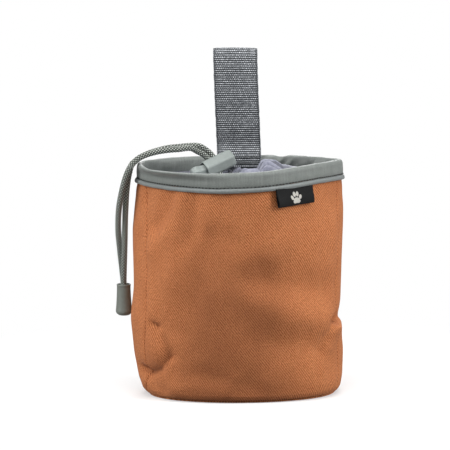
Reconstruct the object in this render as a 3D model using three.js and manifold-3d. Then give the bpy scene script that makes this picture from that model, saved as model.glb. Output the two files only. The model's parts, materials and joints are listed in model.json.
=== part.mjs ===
// Drawstring treat pouch with a belt loop, as an assembly of sewn and moulded pieces.
// Millimetres, +Z up, front towards -Y, right towards +X. The origin is on the
// resting plane, under the middle of the pouch.
//
// The pouch is a sewn tube on a flat base. Its plan is two half ellipses: a
// fuller front and a flatter back. Every ring-shaped piece is turned at a nominal
// radius and then mapped onto that plan, so neighbouring layers keep an even gap
// all the way round. An "offset" is a distance outwards from the plan.

import * as THREE from "three";
import { mergeVertices } from "three/addons/utils/BufferGeometryUtils.js";
import Module from "manifold-3d";

const wasm = await Module();
wasm.setup();

// ---------------------------------------------------------------- shared dimensions
const GAP = 0.3; // clearance between neighbouring pieces
const WALL_T = 0.8; // woven outer cloth, with its backing
const WALL_LOW_Z = 0.3;
const WALL_TOP_Z = 129; // cloth ends inside the binding
const LINING_T = 0.5; // coated lining cloth
const LINING_GAP = 0.5; // the lining hangs a little clear of the wall
const BAND_T = 0.6; // rim binding, one ply
const BAND_OUTER = GAP + BAND_T; // offset of the binding's outer face
const BAND_INNER = -(WALL_T + LINING_GAP + LINING_T + GAP + BAND_T);
const CORD_R = 1.6;
const CORD_SIDES = 8;
const NOMINAL_R = 50; // radius at which ring profiles are turned
const AROUND = 44; // facets round the pouch

// plan of the pouch: height, left half width, right half width,
// depth in front of the side line, depth behind it
const PLAN = [
  [WALL_LOW_Z, 54.9, 55.2, 40.6, 27.2],
  [4, 57.3, 57.3, 42.9, 29.0],
  [10, 59.8, 58.4, 44.0, 30.0],
  [24, 62.2, 59.0, 45.0, 30.6],
  [44, 63.3, 57.4, 45.8, 31.0],
  [62, 61.9, 57.9, 46.2, 31.0],
  [80, 62.3, 58.7, 46.8, 30.8],
  [96, 62.2, 59.4, 47.4, 30.4],
  [108, 61.0, 59.6, 48.2, 30.0],
  [118, 59.7, 58.8, 49.2, 29.6],
  [124, 58.7, 58.6, 49.7, 29.3],
  [WALL_TOP_Z, 58.3, 58.4, 50.0, 29.0],
  [134, 58.3, 58.4, 50.4, 29.0],
];
const RIM_Z = PLAN.at(-1)[0];
// how the front curve runs into its ends: 1 is an ellipse, 2 a parabola, whose
// ends are sharper because the side seams draw the mouth flat there
const SHARP = 1.7;
const SHARP_TOP_LEFT = 0.95; // the rim's top edge rolls outwards at its left end

// ---------------------------------------------------------------- materials
const MATERIALS = {
  cloth: { color: 0xb8713f, roughness: 0.9 },
  liner: { color: 0x8f93a6, roughness: 0.6 },
  binding: { color: 0x80867f, roughness: 0.7 },
  piping: { color: 0x80867f, roughness: 0.6 },
  stiffener: { color: 0xd8d8d4, roughness: 0.5 },
  topstitch: { color: 0x3c3d3a, roughness: 0.8 },
  cord: { color: 0x77796f, roughness: 0.85 },
  plastic: { color: 0x7b8078, roughness: 0.45 },
  spring: { color: 0xb9bcbe, roughness: 0.3, metalness: 0.9 },
  webbing: { color: 0x6c7073, roughness: 0.85 },
  tack: { color: 0x55585a, roughness: 0.8 },
  label: { color: 0x26262a, roughness: 0.8 },
};

const group = new THREE.Group();
function add(name, geometry, material) {
  const mesh = new THREE.Mesh(
    geometry,
    new THREE.MeshStandardMaterial(MATERIALS[material]),
  );
  mesh.name = name;
  group.add(mesh);
  return mesh;
}

// ---------------------------------------------------------------- plan mapping
// half widths and depths at a height within the table
function planAt(z) {
  const upper = Math.max(1, PLAN.findIndex((row) => z <= row[0]));
  const [lowZ, ...low] = PLAN[upper - 1];
  const [highZ, ...high] = PLAN[upper];
  const t = (z - lowZ) / (highZ - lowZ);
  return low.map((value, i) => value + (high[i] - value) * t);
}

// exponent of the front curve
function sharpness(angle, z) {
  const { smoothstep } = THREE.MathUtils;
  const body = 1 + (SHARP - 1) * smoothstep(z, 60, 118);
  const topLeft = smoothstep(-Math.cos(angle), -0.5, 0.5) * smoothstep(z, WALL_TOP_Z, RIM_Z);
  return body + (SHARP_TOP_LEFT - body) * topLeft;
}

// x, y of the plan at an angle, moved out by an offset
function onPlan(angle, z, offset) {
  const [left, right, front, back] = planAt(z);
  const cos = Math.cos(angle);
  const sin = Math.sin(angle);
  return [
    cos * ((cos < 0 ? left : right) + offset),
    sin < 0
      ? sin * offset - (-sin) ** sharpness(angle, z) * front
      : sin * (back + offset),
  ];
}

// ---------------------------------------------------------------- geometry helpers
const vectors = (rows) => rows.map((row) => new THREE.Vector3(...row));
const vectors2 = (rows) => rows.map((row) => new THREE.Vector2(...row));

// moves every vertex to move(x, y, z)
function mapPoints(geometry, move) {
  const points = geometry.attributes.position;
  for (let i = 0; i < points.count; i++) {
    points.setXYZ(i, ...move(points.getX(i), points.getY(i), points.getZ(i)));
  }
  return geometry;
}

// a manifold made from a geometry, which is used up
function solid(geometry) {
  for (const name of Object.keys(geometry.attributes)) {
    if (name !== "position") geometry.deleteAttribute(name);
  }
  const merged = mergeVertices(geometry, 1e-4);
  return new wasm.Manifold(
    new wasm.Mesh({
      numProp: 3,
      vertProperties: new Float32Array(merged.attributes.position.array),
      triVerts: new Uint32Array(merged.index.array),
    }),
  );
}

function geometryOf(manifold) {
  const mesh = manifold.getMesh();
  const geometry = new THREE.BufferGeometry();
  const positions = new Float32Array(mesh.vertProperties);
  geometry.setAttribute("position", new THREE.BufferAttribute(positions, 3));
  geometry.setIndex(new THREE.BufferAttribute(new Uint32Array(mesh.triVerts), 1));
  geometry.computeVertexNormals();
  return geometry;
}

function box([x0, x1], [y0, y1], [z0, z1]) {
  const geometry = new THREE.BoxGeometry(x1 - x0, y1 - y0, z1 - z0);
  return geometry.translate((x0 + x1) / 2, (y0 + y1) / 2, (z0 + z1) / 2);
}

// a profile of [radius, z] turned about the z axis
function lathe(profile, around) {
  return new THREE.LatheGeometry(vectors2(profile), around).rotateX(Math.PI / 2);
}

const closed = (profile) => [...profile, profile[0]];

// points of an oval as [u, v]
function oval(sides, [centreU, centreV], radiusU, radiusV = radiusU) {
  return Array.from({ length: sides }, (_, i) => {
    const angle = (i / sides) * Math.PI * 2;
    return [centreU + radiusU * Math.cos(angle), centreV + radiusV * Math.sin(angle)];
  });
}

// a closed profile of [offset, z] carried round the pouch
function ring(profile) {
  const nominal = profile.map(([offset, z]) => [NOMINAL_R + offset, z]);
  return mapPoints(lathe(closed(nominal), AROUND), (x, y, z) => [
    ...onPlan(Math.atan2(y, x), z, Math.hypot(x, y) - NOMINAL_R),
    z,
  ]);
}

// a flat disc whose edge follows the foot of the plan
function disc(lowZ, highZ, offset) {
  const unitDisc = lathe([[0, lowZ], [1, lowZ], [1, highZ], [0, highZ]], AROUND);
  return mapPoints(unitDisc, (x, y, z) => {
    const atCentre = Math.hypot(x, y) < 0.5;
    return atCentre ? [0, 0, z] : [...onPlan(Math.atan2(y, x), WALL_LOW_Z, offset), z];
  });
}

const column = (offset, heights) => heights.map((z) => [offset, z]);

// ring profile of an upright sheet: up its outer face, down its inner one
function sheet(outer, thickness, heights) {
  return [
    ...column(outer, heights),
    ...column(outer - thickness, [...heights].reverse()),
  ];
}

// a round tube along a curve
function tube(curve, radius, sides, steps) {
  return new THREE.ExtrudeGeometry(new THREE.Shape(vectors2(oval(sides, [0, 0], radius))), {
    steps,
    extrudePath: curve,
    bevelEnabled: false,
  });
}

function cord(points, steps) {
  const curve = new THREE.CatmullRomCurve3(points, false, "centripetal");
  return tube(curve, CORD_R, CORD_SIDES, steps);
}

// outline of a strip of the given thickness about a centre line
function strip(line, thickness, samples) {
  const curve = new THREE.SplineCurve(vectors2(line));
  const left = [];
  const right = [];
  for (let i = 0; i <= samples; i++) {
    const point = curve.getPoint(i / samples);
    const tangent = curve.getTangent(i / samples);
    const halfway = new THREE.Vector2(-tangent.y, tangent.x).multiplyScalar(thickness / 2);
    left.push(point.clone().add(halfway));
    right.push(point.clone().sub(halfway));
  }
  return new THREE.Shape([...left, ...right.reverse()]);
}

// ---------------------------------------------------------------- sewn body
// the side seams sit in front of the side line, the right one further back: the
// line between them crosses the middle at SEAM_Y and rises to the right by SEAM_SLOPE
const SEAM_Y = -15.28;
const SEAM_SLOPE = 0.0604;
const BASE_T = 1;
const BASE_CLEARANCE = 0.35; // round the edge of the base panel and above it
const LINING_LOW_Z = 1.4;

function wallProfile(outer, thickness, lowZ) {
  const heights = PLAN.map((row) => row[0]).filter((z) => z > lowZ + 0.5 && z <= WALL_TOP_Z);
  return sheet(outer, thickness, [lowZ, ...heights]);
}

// the part of the wall between two distances behind the seam line
function panel(nearY, farY) {
  const half = box([-120, 120], [nearY, farY], [-5, 150])
    .rotateZ(Math.atan(SEAM_SLOPE))
    .translate(0, SEAM_Y, 0);
  const wall = solid(ring(wallProfile(0, WALL_T, WALL_LOW_Z)));
  return geometryOf(wall.intersect(solid(half)));
}

function liningBase() {
  const lowZ = BASE_T + BASE_CLEARANCE;
  const edge = -WALL_T - LINING_GAP - LINING_T - GAP - 0.1;
  return disc(lowZ, lowZ + LINING_T, edge);
}

add("front_panel", panel(-120, -GAP / 2), "cloth");
add("back_panel", panel(GAP / 2, 120), "cloth");
add("base_panel", disc(0, BASE_T, -WALL_T - BASE_CLEARANCE), "cloth");
add("lining_wall", ring(wallProfile(-WALL_T - LINING_GAP, LINING_T, LINING_LOW_Z)), "liner");
add("lining_base", liningBase(), "liner");

// ---------------------------------------------------------------- rim
const BAND_LOW_Z = 125.5; // lower edge of the rim binding
const RIM_MID_Z = 131; // extra level shared by the binding and the stiffener
const CREST_OFFSET = -0.8; // top of the binding's fold
const SHOULDER = 1.1; // from the crest to the slopes either side

// binding folded over the top of the wall and lining
function rimBinding() {
  const face = (offset, topZ) => column(offset, [BAND_LOW_Z, WALL_TOP_Z, RIM_MID_Z, topZ]);
  return ring([
    ...face(BAND_OUTER, 132.7),
    [CREST_OFFSET + SHOULDER, 133.75],
    [CREST_OFFSET, RIM_Z],
    [CREST_OFFSET - SHOULDER, 133.75],
    ...face(BAND_INNER, 132.7).reverse(),
    ...face(BAND_INNER + BAND_T, 132.5),
    [CREST_OFFSET, 133.4],
    ...face(GAP, 132.5).reverse(),
  ]);
}

// plastic strip that holds the mouth open, with its ends meeting at the back
function rimStiffener() {
  const hoop = solid(ring(sheet(-0.3, 1, [WALL_TOP_Z + 0.35, RIM_MID_Z, 132.1])));
  const endGap = solid(box([18, 19.5], [10, 40], [120, 140]));
  return geometryOf(hoop.subtract(endGap));
}

const STITCH_R = 0.25;
const STITCH_CENTRE = [BAND_OUTER + GAP + STITCH_R, 126.4]; // offset, z

add("rim_binding", rimBinding(), "binding");
add("rim_stiffener", rimStiffener(), "stiffener");
add("rim_piping", ring(oval(8, [1.05, 123.8], 0.75, 1.35)), "piping");
add("rim_topstitch", ring(oval(5, STITCH_CENTRE, STITCH_R)), "topstitch");

// ---------------------------------------------------------------- collar
const HEM_CENTRE = new THREE.Vector3(-4, -4, 119);
const HEM_R = 10; // centre line of the gathered hem
const HEM_TUBE_R = 4.2;
const HEM_CHANNEL_R = CORD_R + 0.55;
const SKIRT_T = 0.6;
const SKIRT_HEM_GAP = 0.6;
// fraction of the way from the rim to the hem, z of the upper face
const SKIRT_LINE = [[0, 124.6], [0.2, 124.0], [0.5, 121.8], [0.8, 119.4], [1, 118.2]];

// the part sewn under the rim: a shallow funnel from the rim to the gathers.
// It is turned between two nominal radii, which carry the fraction inwards.
function collarSkirt() {
  const nominalOuter = 30;
  const nominalSpan = 10;
  const underside = SKIRT_LINE.map(([inward, z]) => [inward, z - SKIRT_T]).reverse();
  const profile = [...SKIRT_LINE, ...underside].map(([inward, z]) => [
    nominalOuter - nominalSpan * inward,
    z,
  ]);
  const innerR = HEM_R + HEM_TUBE_R + SKIRT_HEM_GAP;
  return mapPoints(lathe(closed(profile), 40), (x, y, z) => {
    const angle = Math.atan2(y, x);
    const inward = (nominalOuter - Math.hypot(x, y)) / nominalSpan;
    const [outerX, outerY] = onPlan(angle, 124, BAND_INNER + BAND_T - GAP);
    const innerX = HEM_CENTRE.x + innerR * Math.cos(angle);
    const innerY = HEM_CENTRE.y + innerR * Math.sin(angle);
    return [outerX + (innerX - outerX) * inward, outerY + (innerY - outerY) * inward, z];
  });
}

// the gathered hem: a ring with the drawstring channel inside it, notched at the
// left where the cord comes out
function collarHem() {
  const torus = (radius, sides) => {
    const geometry = lathe(closed(oval(sides, [HEM_R, 0], radius)), 32);
    return solid(geometry.translate(...HEM_CENTRE));
  };
  const notch = solid(box([-18.5, -7], [-7.2, 5.6], [118.6, 126]));
  return geometryOf(
    torus(HEM_TUBE_R, 10).subtract(torus(HEM_CHANNEL_R, 8)).subtract(notch),
  );
}

add("collar_skirt", collarSkirt(), "liner");
add("collar_hem", collarHem(), "liner");

// ---------------------------------------------------------------- cord lock frame
const BARREL_AXIS = new THREE.Vector3(0.863, 0.45, 0.23).normalize(); // from its mouth
const CORD_AXIS = new THREE.Vector3(-0.35, 0.2, 0.915); // made square to the barrel
CORD_AXIS.addScaledVector(BARREL_AXIS, -BARREL_AXIS.dot(CORD_AXIS)).normalize();
const FRONT_AXIS = new THREE.Vector3().crossVectors(BARREL_AXIS, CORD_AXIS);
const BARREL_L = 19;
const BARREL_MID = new THREE.Vector3(-11.4, 2.475, 132.29);
const MOUTH = BARREL_MID.clone().addScaledVector(BARREL_AXIS, -BARREL_L / 2);

// ---------------------------------------------------------------- drawstring
const STRANDS = [4.6, 7.9]; // strand centres, along the barrel from its mouth
const BEND_R = 16; // mean bend of the two strands through the lock
const STRAND_HALF_PITCH = (STRANDS[1] - STRANDS[0]) / 2;
const NEAR_R = BEND_R - STRAND_HALF_PITCH;
const FAR_R = BEND_R + STRAND_HALF_PITCH;
const BEND_CENTRE = MOUTH.clone().addScaledVector(
  BARREL_AXIS,
  (STRANDS[0] + STRANDS[1]) / 2 - BEND_R,
);

// point on the bend through the lock, moved towards the front
function onBend(radius, degrees, forward = 0) {
  const angle = THREE.MathUtils.degToRad(degrees);
  return BEND_CENTRE.clone()
    .addScaledVector(BARREL_AXIS, radius * Math.cos(angle))
    .addScaledVector(CORD_AXIS, radius * Math.sin(angle))
    .addScaledVector(FRONT_AXIS, forward);
}

function onHem(degrees) {
  const angle = THREE.MathUtils.degToRad(degrees);
  const spoke = new THREE.Vector3(HEM_R * Math.cos(angle), HEM_R * Math.sin(angle), 0);
  return spoke.add(HEM_CENTRE);
}

// in from the left end of the rim, down through the lock, round the hem channel
// and back the same way
const CORD_PATH = [
  ...vectors([
    [-62.0, -6.3, 133.7],
    [-60.6, -6.5, 135.3],
    [-57.9, -6.8, 137.6],
    [-53.9, -7.1, 139.5],
    [-47.6, -7.4, 141.2],
    [-41.0, -7.2, 142.2],
    [-35.0, -6.0, 142.4],
  ]),
  onBend(15.0, 71, 1.6),
  ...[52, 40, 28, 16, 4, -8, -20].map((degrees) => onBend(NEAR_R, degrees)),
  ...vectors([
    [-14.1, -2.4, 122.6],
    [-14.3, -4.6, 119.6],
  ]),
  ...Array.from({ length: 12 }, (_, i) => onHem(195 + 25 * i)),
  onHem(488),
  ...vectors([
    [-12.1, 2.5, 119.5],
    [-11.9, 1.2, 122.6],
  ]),
  ...[-18, -8, 4, 16, 28, 40, 52].map((degrees) => onBend(FAR_R, degrees)),
  onBend(17.1, 68, -1.4),
  ...vectors([
    [-35.0, -2.4, 143.3],
    [-41.0, -3.6, 142.9],
    [-47.6, -3.7, 141.4],
    [-53.9, -3.4, 139.2],
    [-57.9, -3.0, 137.1],
    [-60.6, -2.8, 135.0],
    [-62.0, -2.7, 133.6],
  ]),
];
add("drawstring_cord", cord(CORD_PATH, 84), "cord");

// ---------------------------------------------------------------- cord lock
// Local frame: x along the barrel from its mouth, y along the cord, z to the front.
const LOCK_FRAME = new THREE.Matrix4()
  .makeBasis(BARREL_AXIS, CORD_AXIS, FRONT_AXIS)
  .setPosition(MOUTH);
const BORE_END = 17.5;
const BUTTON_END = 12.2; // inner end of the button
const SLOT_HALF_WIDTH = CORD_R + 0.4;
// [x, scale of the section]; the barrel's and the button's outer ends narrow
const BARREL_STATIONS = [[0, 0.95], [0.7, 1], [17.6, 1], [18.6, 0.94], [BARREL_L, 0.84]];
const BORE_STATIONS = [[-1, 1], [BORE_END, 1]];
const BUTTON_STATIONS = [[-7.6, 0.62], [-7.0, 0.86], [-5.6, 0.99], [-4.2, 1], [BUTTON_END, 1]];

// six-cornered section in y, z with eased corners: flats at y = +-halfHeight,
// halfFlat each side of the middle, and ridges at z = +-halfWidth
function section({ halfHeight, halfWidth, halfFlat, ease }) {
  const corners = [
    [halfHeight, halfFlat],
    [0, halfWidth],
    [-halfHeight, halfFlat],
    [-halfHeight, -halfFlat],
    [0, -halfWidth],
    [halfHeight, -halfFlat],
  ];
  return corners.flatMap(([y, z], i) =>
    [corners[(i + 5) % 6], corners[(i + 1) % 6]].map(([nextY, nextZ]) => {
      const distance = Math.hypot(nextY - y, nextZ - z);
      return [y + ((nextY - y) * ease) / distance, z + ((nextZ - z) * ease) / distance];
    }),
  );
}

// a section carried along x through stations of [x, scale]
function prism(outline, stations) {
  const count = outline.length;
  const positions = stations.flatMap(([x, scale]) =>
    outline.flatMap(([y, z]) => [x, y * scale, z * scale]),
  );
  const indices = [];
  for (let j = 0; j + 1 < stations.length; j++) {
    for (let i = 0; i < count; i++) {
      const here = j * count + i;
      const beside = j * count + ((i + 1) % count);
      indices.push(here, beside, here + count);
      indices.push(beside, beside + count, here + count);
    }
  }
  const last = (stations.length - 1) * count;
  for (let i = 1; i + 1 < count; i++) {
    indices.push(0, i + 1, i);
    indices.push(last, last + i, last + i + 1);
  }
  const geometry = new THREE.BufferGeometry();
  geometry.setAttribute("position", new THREE.Float32BufferAttribute(positions, 3));
  geometry.setIndex(indices);
  return solid(geometry);
}

// a round-ended slot along x, cut right through along y
function slotCutter(startX, endX) {
  const reach = 8;
  const radius = SLOT_HALF_WIDTH;
  const quarter = Math.PI / 2;
  const shape = new THREE.Shape();
  shape.absarc(endX - radius, 0, radius, -quarter, quarter, false);
  shape.absarc(startX + radius, 0, radius, quarter, 3 * quarter, false);
  const geometry = new THREE.ExtrudeGeometry(shape, {
    depth: 2 * reach,
    steps: 1,
    curveSegments: 5,
    bevelEnabled: false,
  });
  return solid(geometry.rotateX(quarter).translate(0, reach, 0));
}

function lockBarrel() {
  const outside = section({ halfHeight: 5.0, halfWidth: 5.2, halfFlat: 2.7, ease: 0.7 });
  const inside = section({ halfHeight: 3.6, halfWidth: 3.9, halfFlat: 2.5, ease: 0.6 });
  return geometryOf(
    prism(outside, BARREL_STATIONS)
      .subtract(prism(inside, BORE_STATIONS))
      .subtract(slotCutter(1.7, 11.6)),
  );
}

function lockButton() {
  const outline = section({ halfHeight: 3.3, halfWidth: 3.6, halfFlat: 2.2, ease: 0.6 });
  return geometryOf(prism(outline, BUTTON_STATIONS).subtract(slotCutter(-1.0, 9.9)));
}

// a helix about x
class Helix extends THREE.Curve {
  constructor({ startX, endX, radius, turns }) {
    super();
    Object.assign(this, { startX, endX, radius, turns });
  }
  getPoint(t, target = new THREE.Vector3()) {
    const angle = t * this.turns * Math.PI * 2;
    return target.set(
      this.startX + (this.endX - this.startX) * t,
      this.radius * Math.cos(angle),
      this.radius * Math.sin(angle),
    );
  }
}

// compression spring between the button and the closed end of the barrel
function lockSpring() {
  const endGap = 0.6;
  const wireRadius = 0.28;
  const helix = new Helix({
    startX: BUTTON_END + endGap,
    endX: BORE_END - endGap,
    radius: 2.1,
    turns: 3.5,
  });
  return tube(helix, wireRadius, 5, 42);
}

add("cord_lock_barrel", lockBarrel(), "plastic").applyMatrix4(LOCK_FRAME);
add("cord_lock_button", lockButton(), "plastic").applyMatrix4(LOCK_FRAME);
add("cord_lock_spring", lockSpring(), "spring").applyMatrix4(LOCK_FRAME);

// ---------------------------------------------------------------- tails
// The tails are named for their places at the rim; they cross on the way down.
const TAIL_FRONT = [
  [-63.75, -6.1, 131.1],
  [-65.7, -6.0, 126.6],
  [-67.9, -5.6, 119.0],
  [-70.0, -4.2, 107.5],
  [-70.6, -1.6, 95.5],
  [-69.9, 1.6, 83.5],
  [-68.9, 4.8, 72.0],
  [-68.1, 6.7, 62.5],
  [-68.0, 6.7, 54.3],
];
const TAIL_REAR = [
  [-63.1, -2.5, 131.1],
  [-64.2, -2.4, 126.6],
  [-65.3, -2.2, 119.0],
  [-66.2, -1.9, 107.5],
  [-66.7, -1.2, 95.5],
  [-67.1, -0.6, 83.5],
  [-67.6, 1.3, 72.0],
  [-67.95, 3.3, 62.5],
  [-68.0, 3.3, 54.3],
];
const CORD_END_X = -68.0;
const CORD_END_Y = 5.0;
const BELL_TOP = 62.4;
const PLUG_LOW = 44.0;
const KNOT_Z = 50.3;
const KNOT_R = 3.45;
// [radius, z]; the bell is open at the top for the tails
const BELL_PROFILE = [
  [3.6, BELL_TOP],
  [3.6, 56.5],
  [3.95, 47.4],
  [3.95, PLUG_LOW + 1.2],
  [4.35, PLUG_LOW + 1.0],
  [4.75, PLUG_LOW + 2.0],
  [4.75, PLUG_LOW + 3.2],
  [4.1, BELL_TOP - 0.5],
];
// [radius, z]; the plug closes the bell from below
const PLUG_PROFILE = [
  [0, PLUG_LOW],
  [2.4, PLUG_LOW + 0.15],
  [3.65, PLUG_LOW + 0.8],
  [3.65, PLUG_LOW + 2.2],
  [0, PLUG_LOW + 2.2],
];

const atCordEnd = (geometry, z = 0) => geometry.translate(CORD_END_X, CORD_END_Y, z);

// overhand knot of the two tails, drawn tight: a ball with three twisting grooves
function cordKnot() {
  const grooveDepth = 0.07; // fraction of the radius, either side of the mean
  const twist = 1.6; // radians per millimetre along the axis
  const ball = mapPoints(new THREE.SphereGeometry(KNOT_R, 14, 10), (x, y, z) => {
    const waist = Math.max(0, 1 - (y / KNOT_R) ** 2);
    const groove = 1 + Math.cos(3 * Math.atan2(z, x) + twist * y);
    const scale = 1 - grooveDepth * waist * groove;
    return [x * scale, y * scale, z * scale];
  });
  return atCordEnd(ball.rotateX(Math.PI / 2), KNOT_Z);
}

add("cord_tail_front", cord(vectors(TAIL_FRONT), 26), "cord");
add("cord_tail_rear", cord(vectors(TAIL_REAR), 26), "cord");
add("cord_end_bell", atCordEnd(lathe(closed(BELL_PROFILE), 24)), "plastic");
add("cord_end_plug", atCordEnd(lathe(PLUG_PROFILE, 20)), "plastic");
add("cord_knot", cordKnot(), "cord");

// ---------------------------------------------------------------- belt loop
const STRAP_W = 25;
const STRAP_T = 1.5;
const STRAP_X = -0.3; // middle of the strap
const TACK_INSET = 1.5; // bar tacks stop short of the strap's edges
const LOOP_TOP_Z = 197.0;
const HINGE_Y = 28.3; // fold line on the rim
const HINGE_Z = 136.6;
const LOOP_LEAN = 1.6; // shift to the left over LEAN_HEIGHT above the hinge
const LEAN_HEIGHT = 60;
const BOW_DEPTH = 30; // the bow is part of an ellipse of this half depth
const BOW_HALF_WIDTH = 59;
const BOW_FADE_HEIGHT = 30;
// [y, z] from the hinge: up the front of the loop, over the top, down the back
const LOOP_LINE = [
  [-0.78, 0.7],
  [-0.85, 5.0],
  [-3.2, 13],
  [-4.4, 26],
  [-4.6, 40],
  [-3.8, 52],
  [-2.1, 57.8],
  [0.9, LOOP_TOP_Z - STRAP_T / 2 - HINGE_Z],
  [4.1, 57.6],
  [5.7, 51],
  [6.1, 39],
  [5.2, 26],
  [3.4, 13],
  [0.85, 5.0],
  [0.78, 0.7],
];
// [y, z] of the ends inside and outside the pouch
const INNER_END_LINE = [[25.15, 135.4], [25.15, 131.5], [25.15, 127.5]];
const OUTER_END_LINE = [
  [31.3, 134.6], [31.35, 129.4], [32.05, 126.8], [32.6, 124.0],
  [32.2, 121.2], [31.6, 117.5], [31.45, 113], [31.45, 110],
];

// an outline in y, z extruded across the strap's width and bowed to follow the back
// of the rim; above fadeFrom the bow dies out and the strap leans left
function acrossStrap(shape, steps, { inset = 0, fadeFrom = Infinity } = {}) {
  const width = STRAP_W - 2 * inset;
  const geometry = new THREE.ExtrudeGeometry(shape, {
    depth: width,
    steps,
    bevelEnabled: false,
  });
  // shape x, y, depth become y, z, x
  geometry.applyMatrix4(
    new THREE.Matrix4().set(
      0, 0, 1, STRAP_X - width / 2,
      1, 0, 0, 0,
      0, 1, 0, 0,
      0, 0, 0, 1,
    ),
  );
  return mapPoints(geometry, (x, y, z) => {
    const rise = Math.max(0, z - fadeFrom);
    const bowShare = Math.max(0, 1 - rise / BOW_FADE_HEIGHT);
    const bow = BOW_DEPTH * (1 - Math.sqrt(1 - (x / BOW_HALF_WIDTH) ** 2));
    return [x - (LOOP_LEAN * rise) / LEAN_HEIGHT, y - bowShare * bow, z];
  });
}

function beltLoop() {
  const line = LOOP_LINE.map(([y, z]) => [HINGE_Y + y, HINGE_Z + z]);
  return acrossStrap(strip(line, STRAP_T, 44), 4, { fadeFrom: HINGE_Z });
}

// bar tack that holds one end of the strap
function barTack([y0, y1], [z0, z1]) {
  const outline = new THREE.Shape(vectors2([[y0, z0], [y1, z0], [y1, z1], [y0, z1]]));
  return acrossStrap(outline, 3, { inset: TACK_INSET });
}

add("belt_loop", beltLoop(), "webbing");
add("belt_loop_inner_end", acrossStrap(strip(INNER_END_LINE, STRAP_T, 2), 4), "webbing");
add("belt_loop_outer_end", acrossStrap(strip(OUTER_END_LINE, STRAP_T, 10), 4), "webbing");
add("bar_tack_inner", barTack([23.6, 24.1], [129.2, 130.8]), "tack");
add("bar_tack_outer", barTack([32.6, 33.1], [112.4, 114.0]), "tack");

// ---------------------------------------------------------------- side label
const LABEL_W = 26.4;
const LABEL_T = 0.42;
const LABEL_Z = 117; // height at which it meets the plan
const LABEL_ANGLE = -Math.acos(31.1 / 59); // on the front, towards the right
// [distance out of the wall, z]
const LABEL_LINE = [
  [0.72, 121.9], [0.68, 119.8], [0.64, 117.5], [0.75, 115.4], [1.3, 114.3],
  [1.95, 115.4], [1.85, 117.5], [1.45, 119.8], [1.15, 121.9],
];

// folded ribbon, its ends under the piping; the fold hangs down
function sideLabel() {
  const wallPoint = (angle) => new THREE.Vector3(...onPlan(angle, LABEL_Z, 0), 0);
  const middle = wallPoint(LABEL_ANGLE);
  const tangent = wallPoint(LABEL_ANGLE + 0.02).sub(middle).normalize();
  const outward = new THREE.Vector3(tangent.y, -tangent.x, 0);
  const up = new THREE.Vector3(0, 0, 1);
  // shape x is out of the wall, shape y is up, depth runs back along the wall
  const frame = new THREE.Matrix4()
    .makeBasis(outward, up, tangent.clone().negate())
    .setPosition(middle.addScaledVector(tangent, LABEL_W / 2));
  return new THREE.ExtrudeGeometry(strip(LABEL_LINE, LABEL_T, 20), {
    depth: LABEL_W,
    steps: 1,
    bevelEnabled: false,
  }).applyMatrix4(frame);
}

add("side_label", sideLabel(), "label");

export default group;
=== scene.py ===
"""A small cloth drawstring pouch with a belt loop, a cord lock and a knotted cord tail.

It stands on z = 0 round the Z axis. Its front faces -Y and its left is -X.
Sizes are millimetres, made into metres by make_mesh. Points on the body are given by phi,
the angle in plan (the front is -pi to 0), and by height z.
"""
import json
import math
from contextlib import contextmanager

import bmesh
import bpy
import numpy as np
from mathutils import Matrix, Vector

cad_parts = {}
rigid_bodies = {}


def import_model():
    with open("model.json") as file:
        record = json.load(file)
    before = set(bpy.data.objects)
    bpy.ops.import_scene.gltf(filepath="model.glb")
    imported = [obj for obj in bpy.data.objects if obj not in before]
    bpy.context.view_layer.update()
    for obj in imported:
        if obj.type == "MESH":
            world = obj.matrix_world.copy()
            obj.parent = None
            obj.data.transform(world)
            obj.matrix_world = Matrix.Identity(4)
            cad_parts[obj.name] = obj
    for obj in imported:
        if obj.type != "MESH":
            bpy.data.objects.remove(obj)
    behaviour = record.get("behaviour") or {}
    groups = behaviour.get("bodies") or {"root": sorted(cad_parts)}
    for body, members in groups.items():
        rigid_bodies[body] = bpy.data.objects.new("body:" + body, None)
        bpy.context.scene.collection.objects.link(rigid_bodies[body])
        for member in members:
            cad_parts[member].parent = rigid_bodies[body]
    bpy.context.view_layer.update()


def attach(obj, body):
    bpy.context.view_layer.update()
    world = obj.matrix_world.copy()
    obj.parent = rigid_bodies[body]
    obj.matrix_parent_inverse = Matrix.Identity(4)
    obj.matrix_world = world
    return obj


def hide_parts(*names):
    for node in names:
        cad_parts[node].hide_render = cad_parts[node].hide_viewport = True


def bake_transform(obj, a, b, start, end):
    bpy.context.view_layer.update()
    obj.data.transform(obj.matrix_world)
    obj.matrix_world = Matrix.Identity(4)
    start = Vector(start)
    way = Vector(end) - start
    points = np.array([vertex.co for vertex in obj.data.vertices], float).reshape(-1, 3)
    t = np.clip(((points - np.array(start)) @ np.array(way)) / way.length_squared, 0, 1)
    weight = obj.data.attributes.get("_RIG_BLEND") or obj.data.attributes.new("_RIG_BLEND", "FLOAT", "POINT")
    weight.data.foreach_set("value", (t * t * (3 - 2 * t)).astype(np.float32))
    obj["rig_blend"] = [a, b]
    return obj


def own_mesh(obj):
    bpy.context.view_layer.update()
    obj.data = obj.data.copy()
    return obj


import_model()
PI = math.pi
TAU = 2 * math.pi


# ------------------------------------------------------------------ numbers
def ramp(start, end, value):
    """Smooth step from 0 at start to 1 at end. Start may be the larger one."""
    share = np.clip((np.asarray(value, float) - start) / (end - start), 0, 1)
    return share * share * (3 - 2 * share)


def gauss(x, width):
    return np.exp(-((np.asarray(x, float) / width) ** 2))


def lattice(ix, iy, iz, seed):
    """Fixed random value, -1 to 1, for a whole-numbered place."""
    h = (ix * 374761393 + iy * 668265263 + iz * 1442695041 + seed * 974634777) & 0xFFFFFFFF
    h = ((h ^ (h >> 13)) * 1274126177) & 0xFFFFFFFF
    h = h ^ (h >> 16)
    return (h & 0xFFFF) / 32767.5 - 1.0


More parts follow.
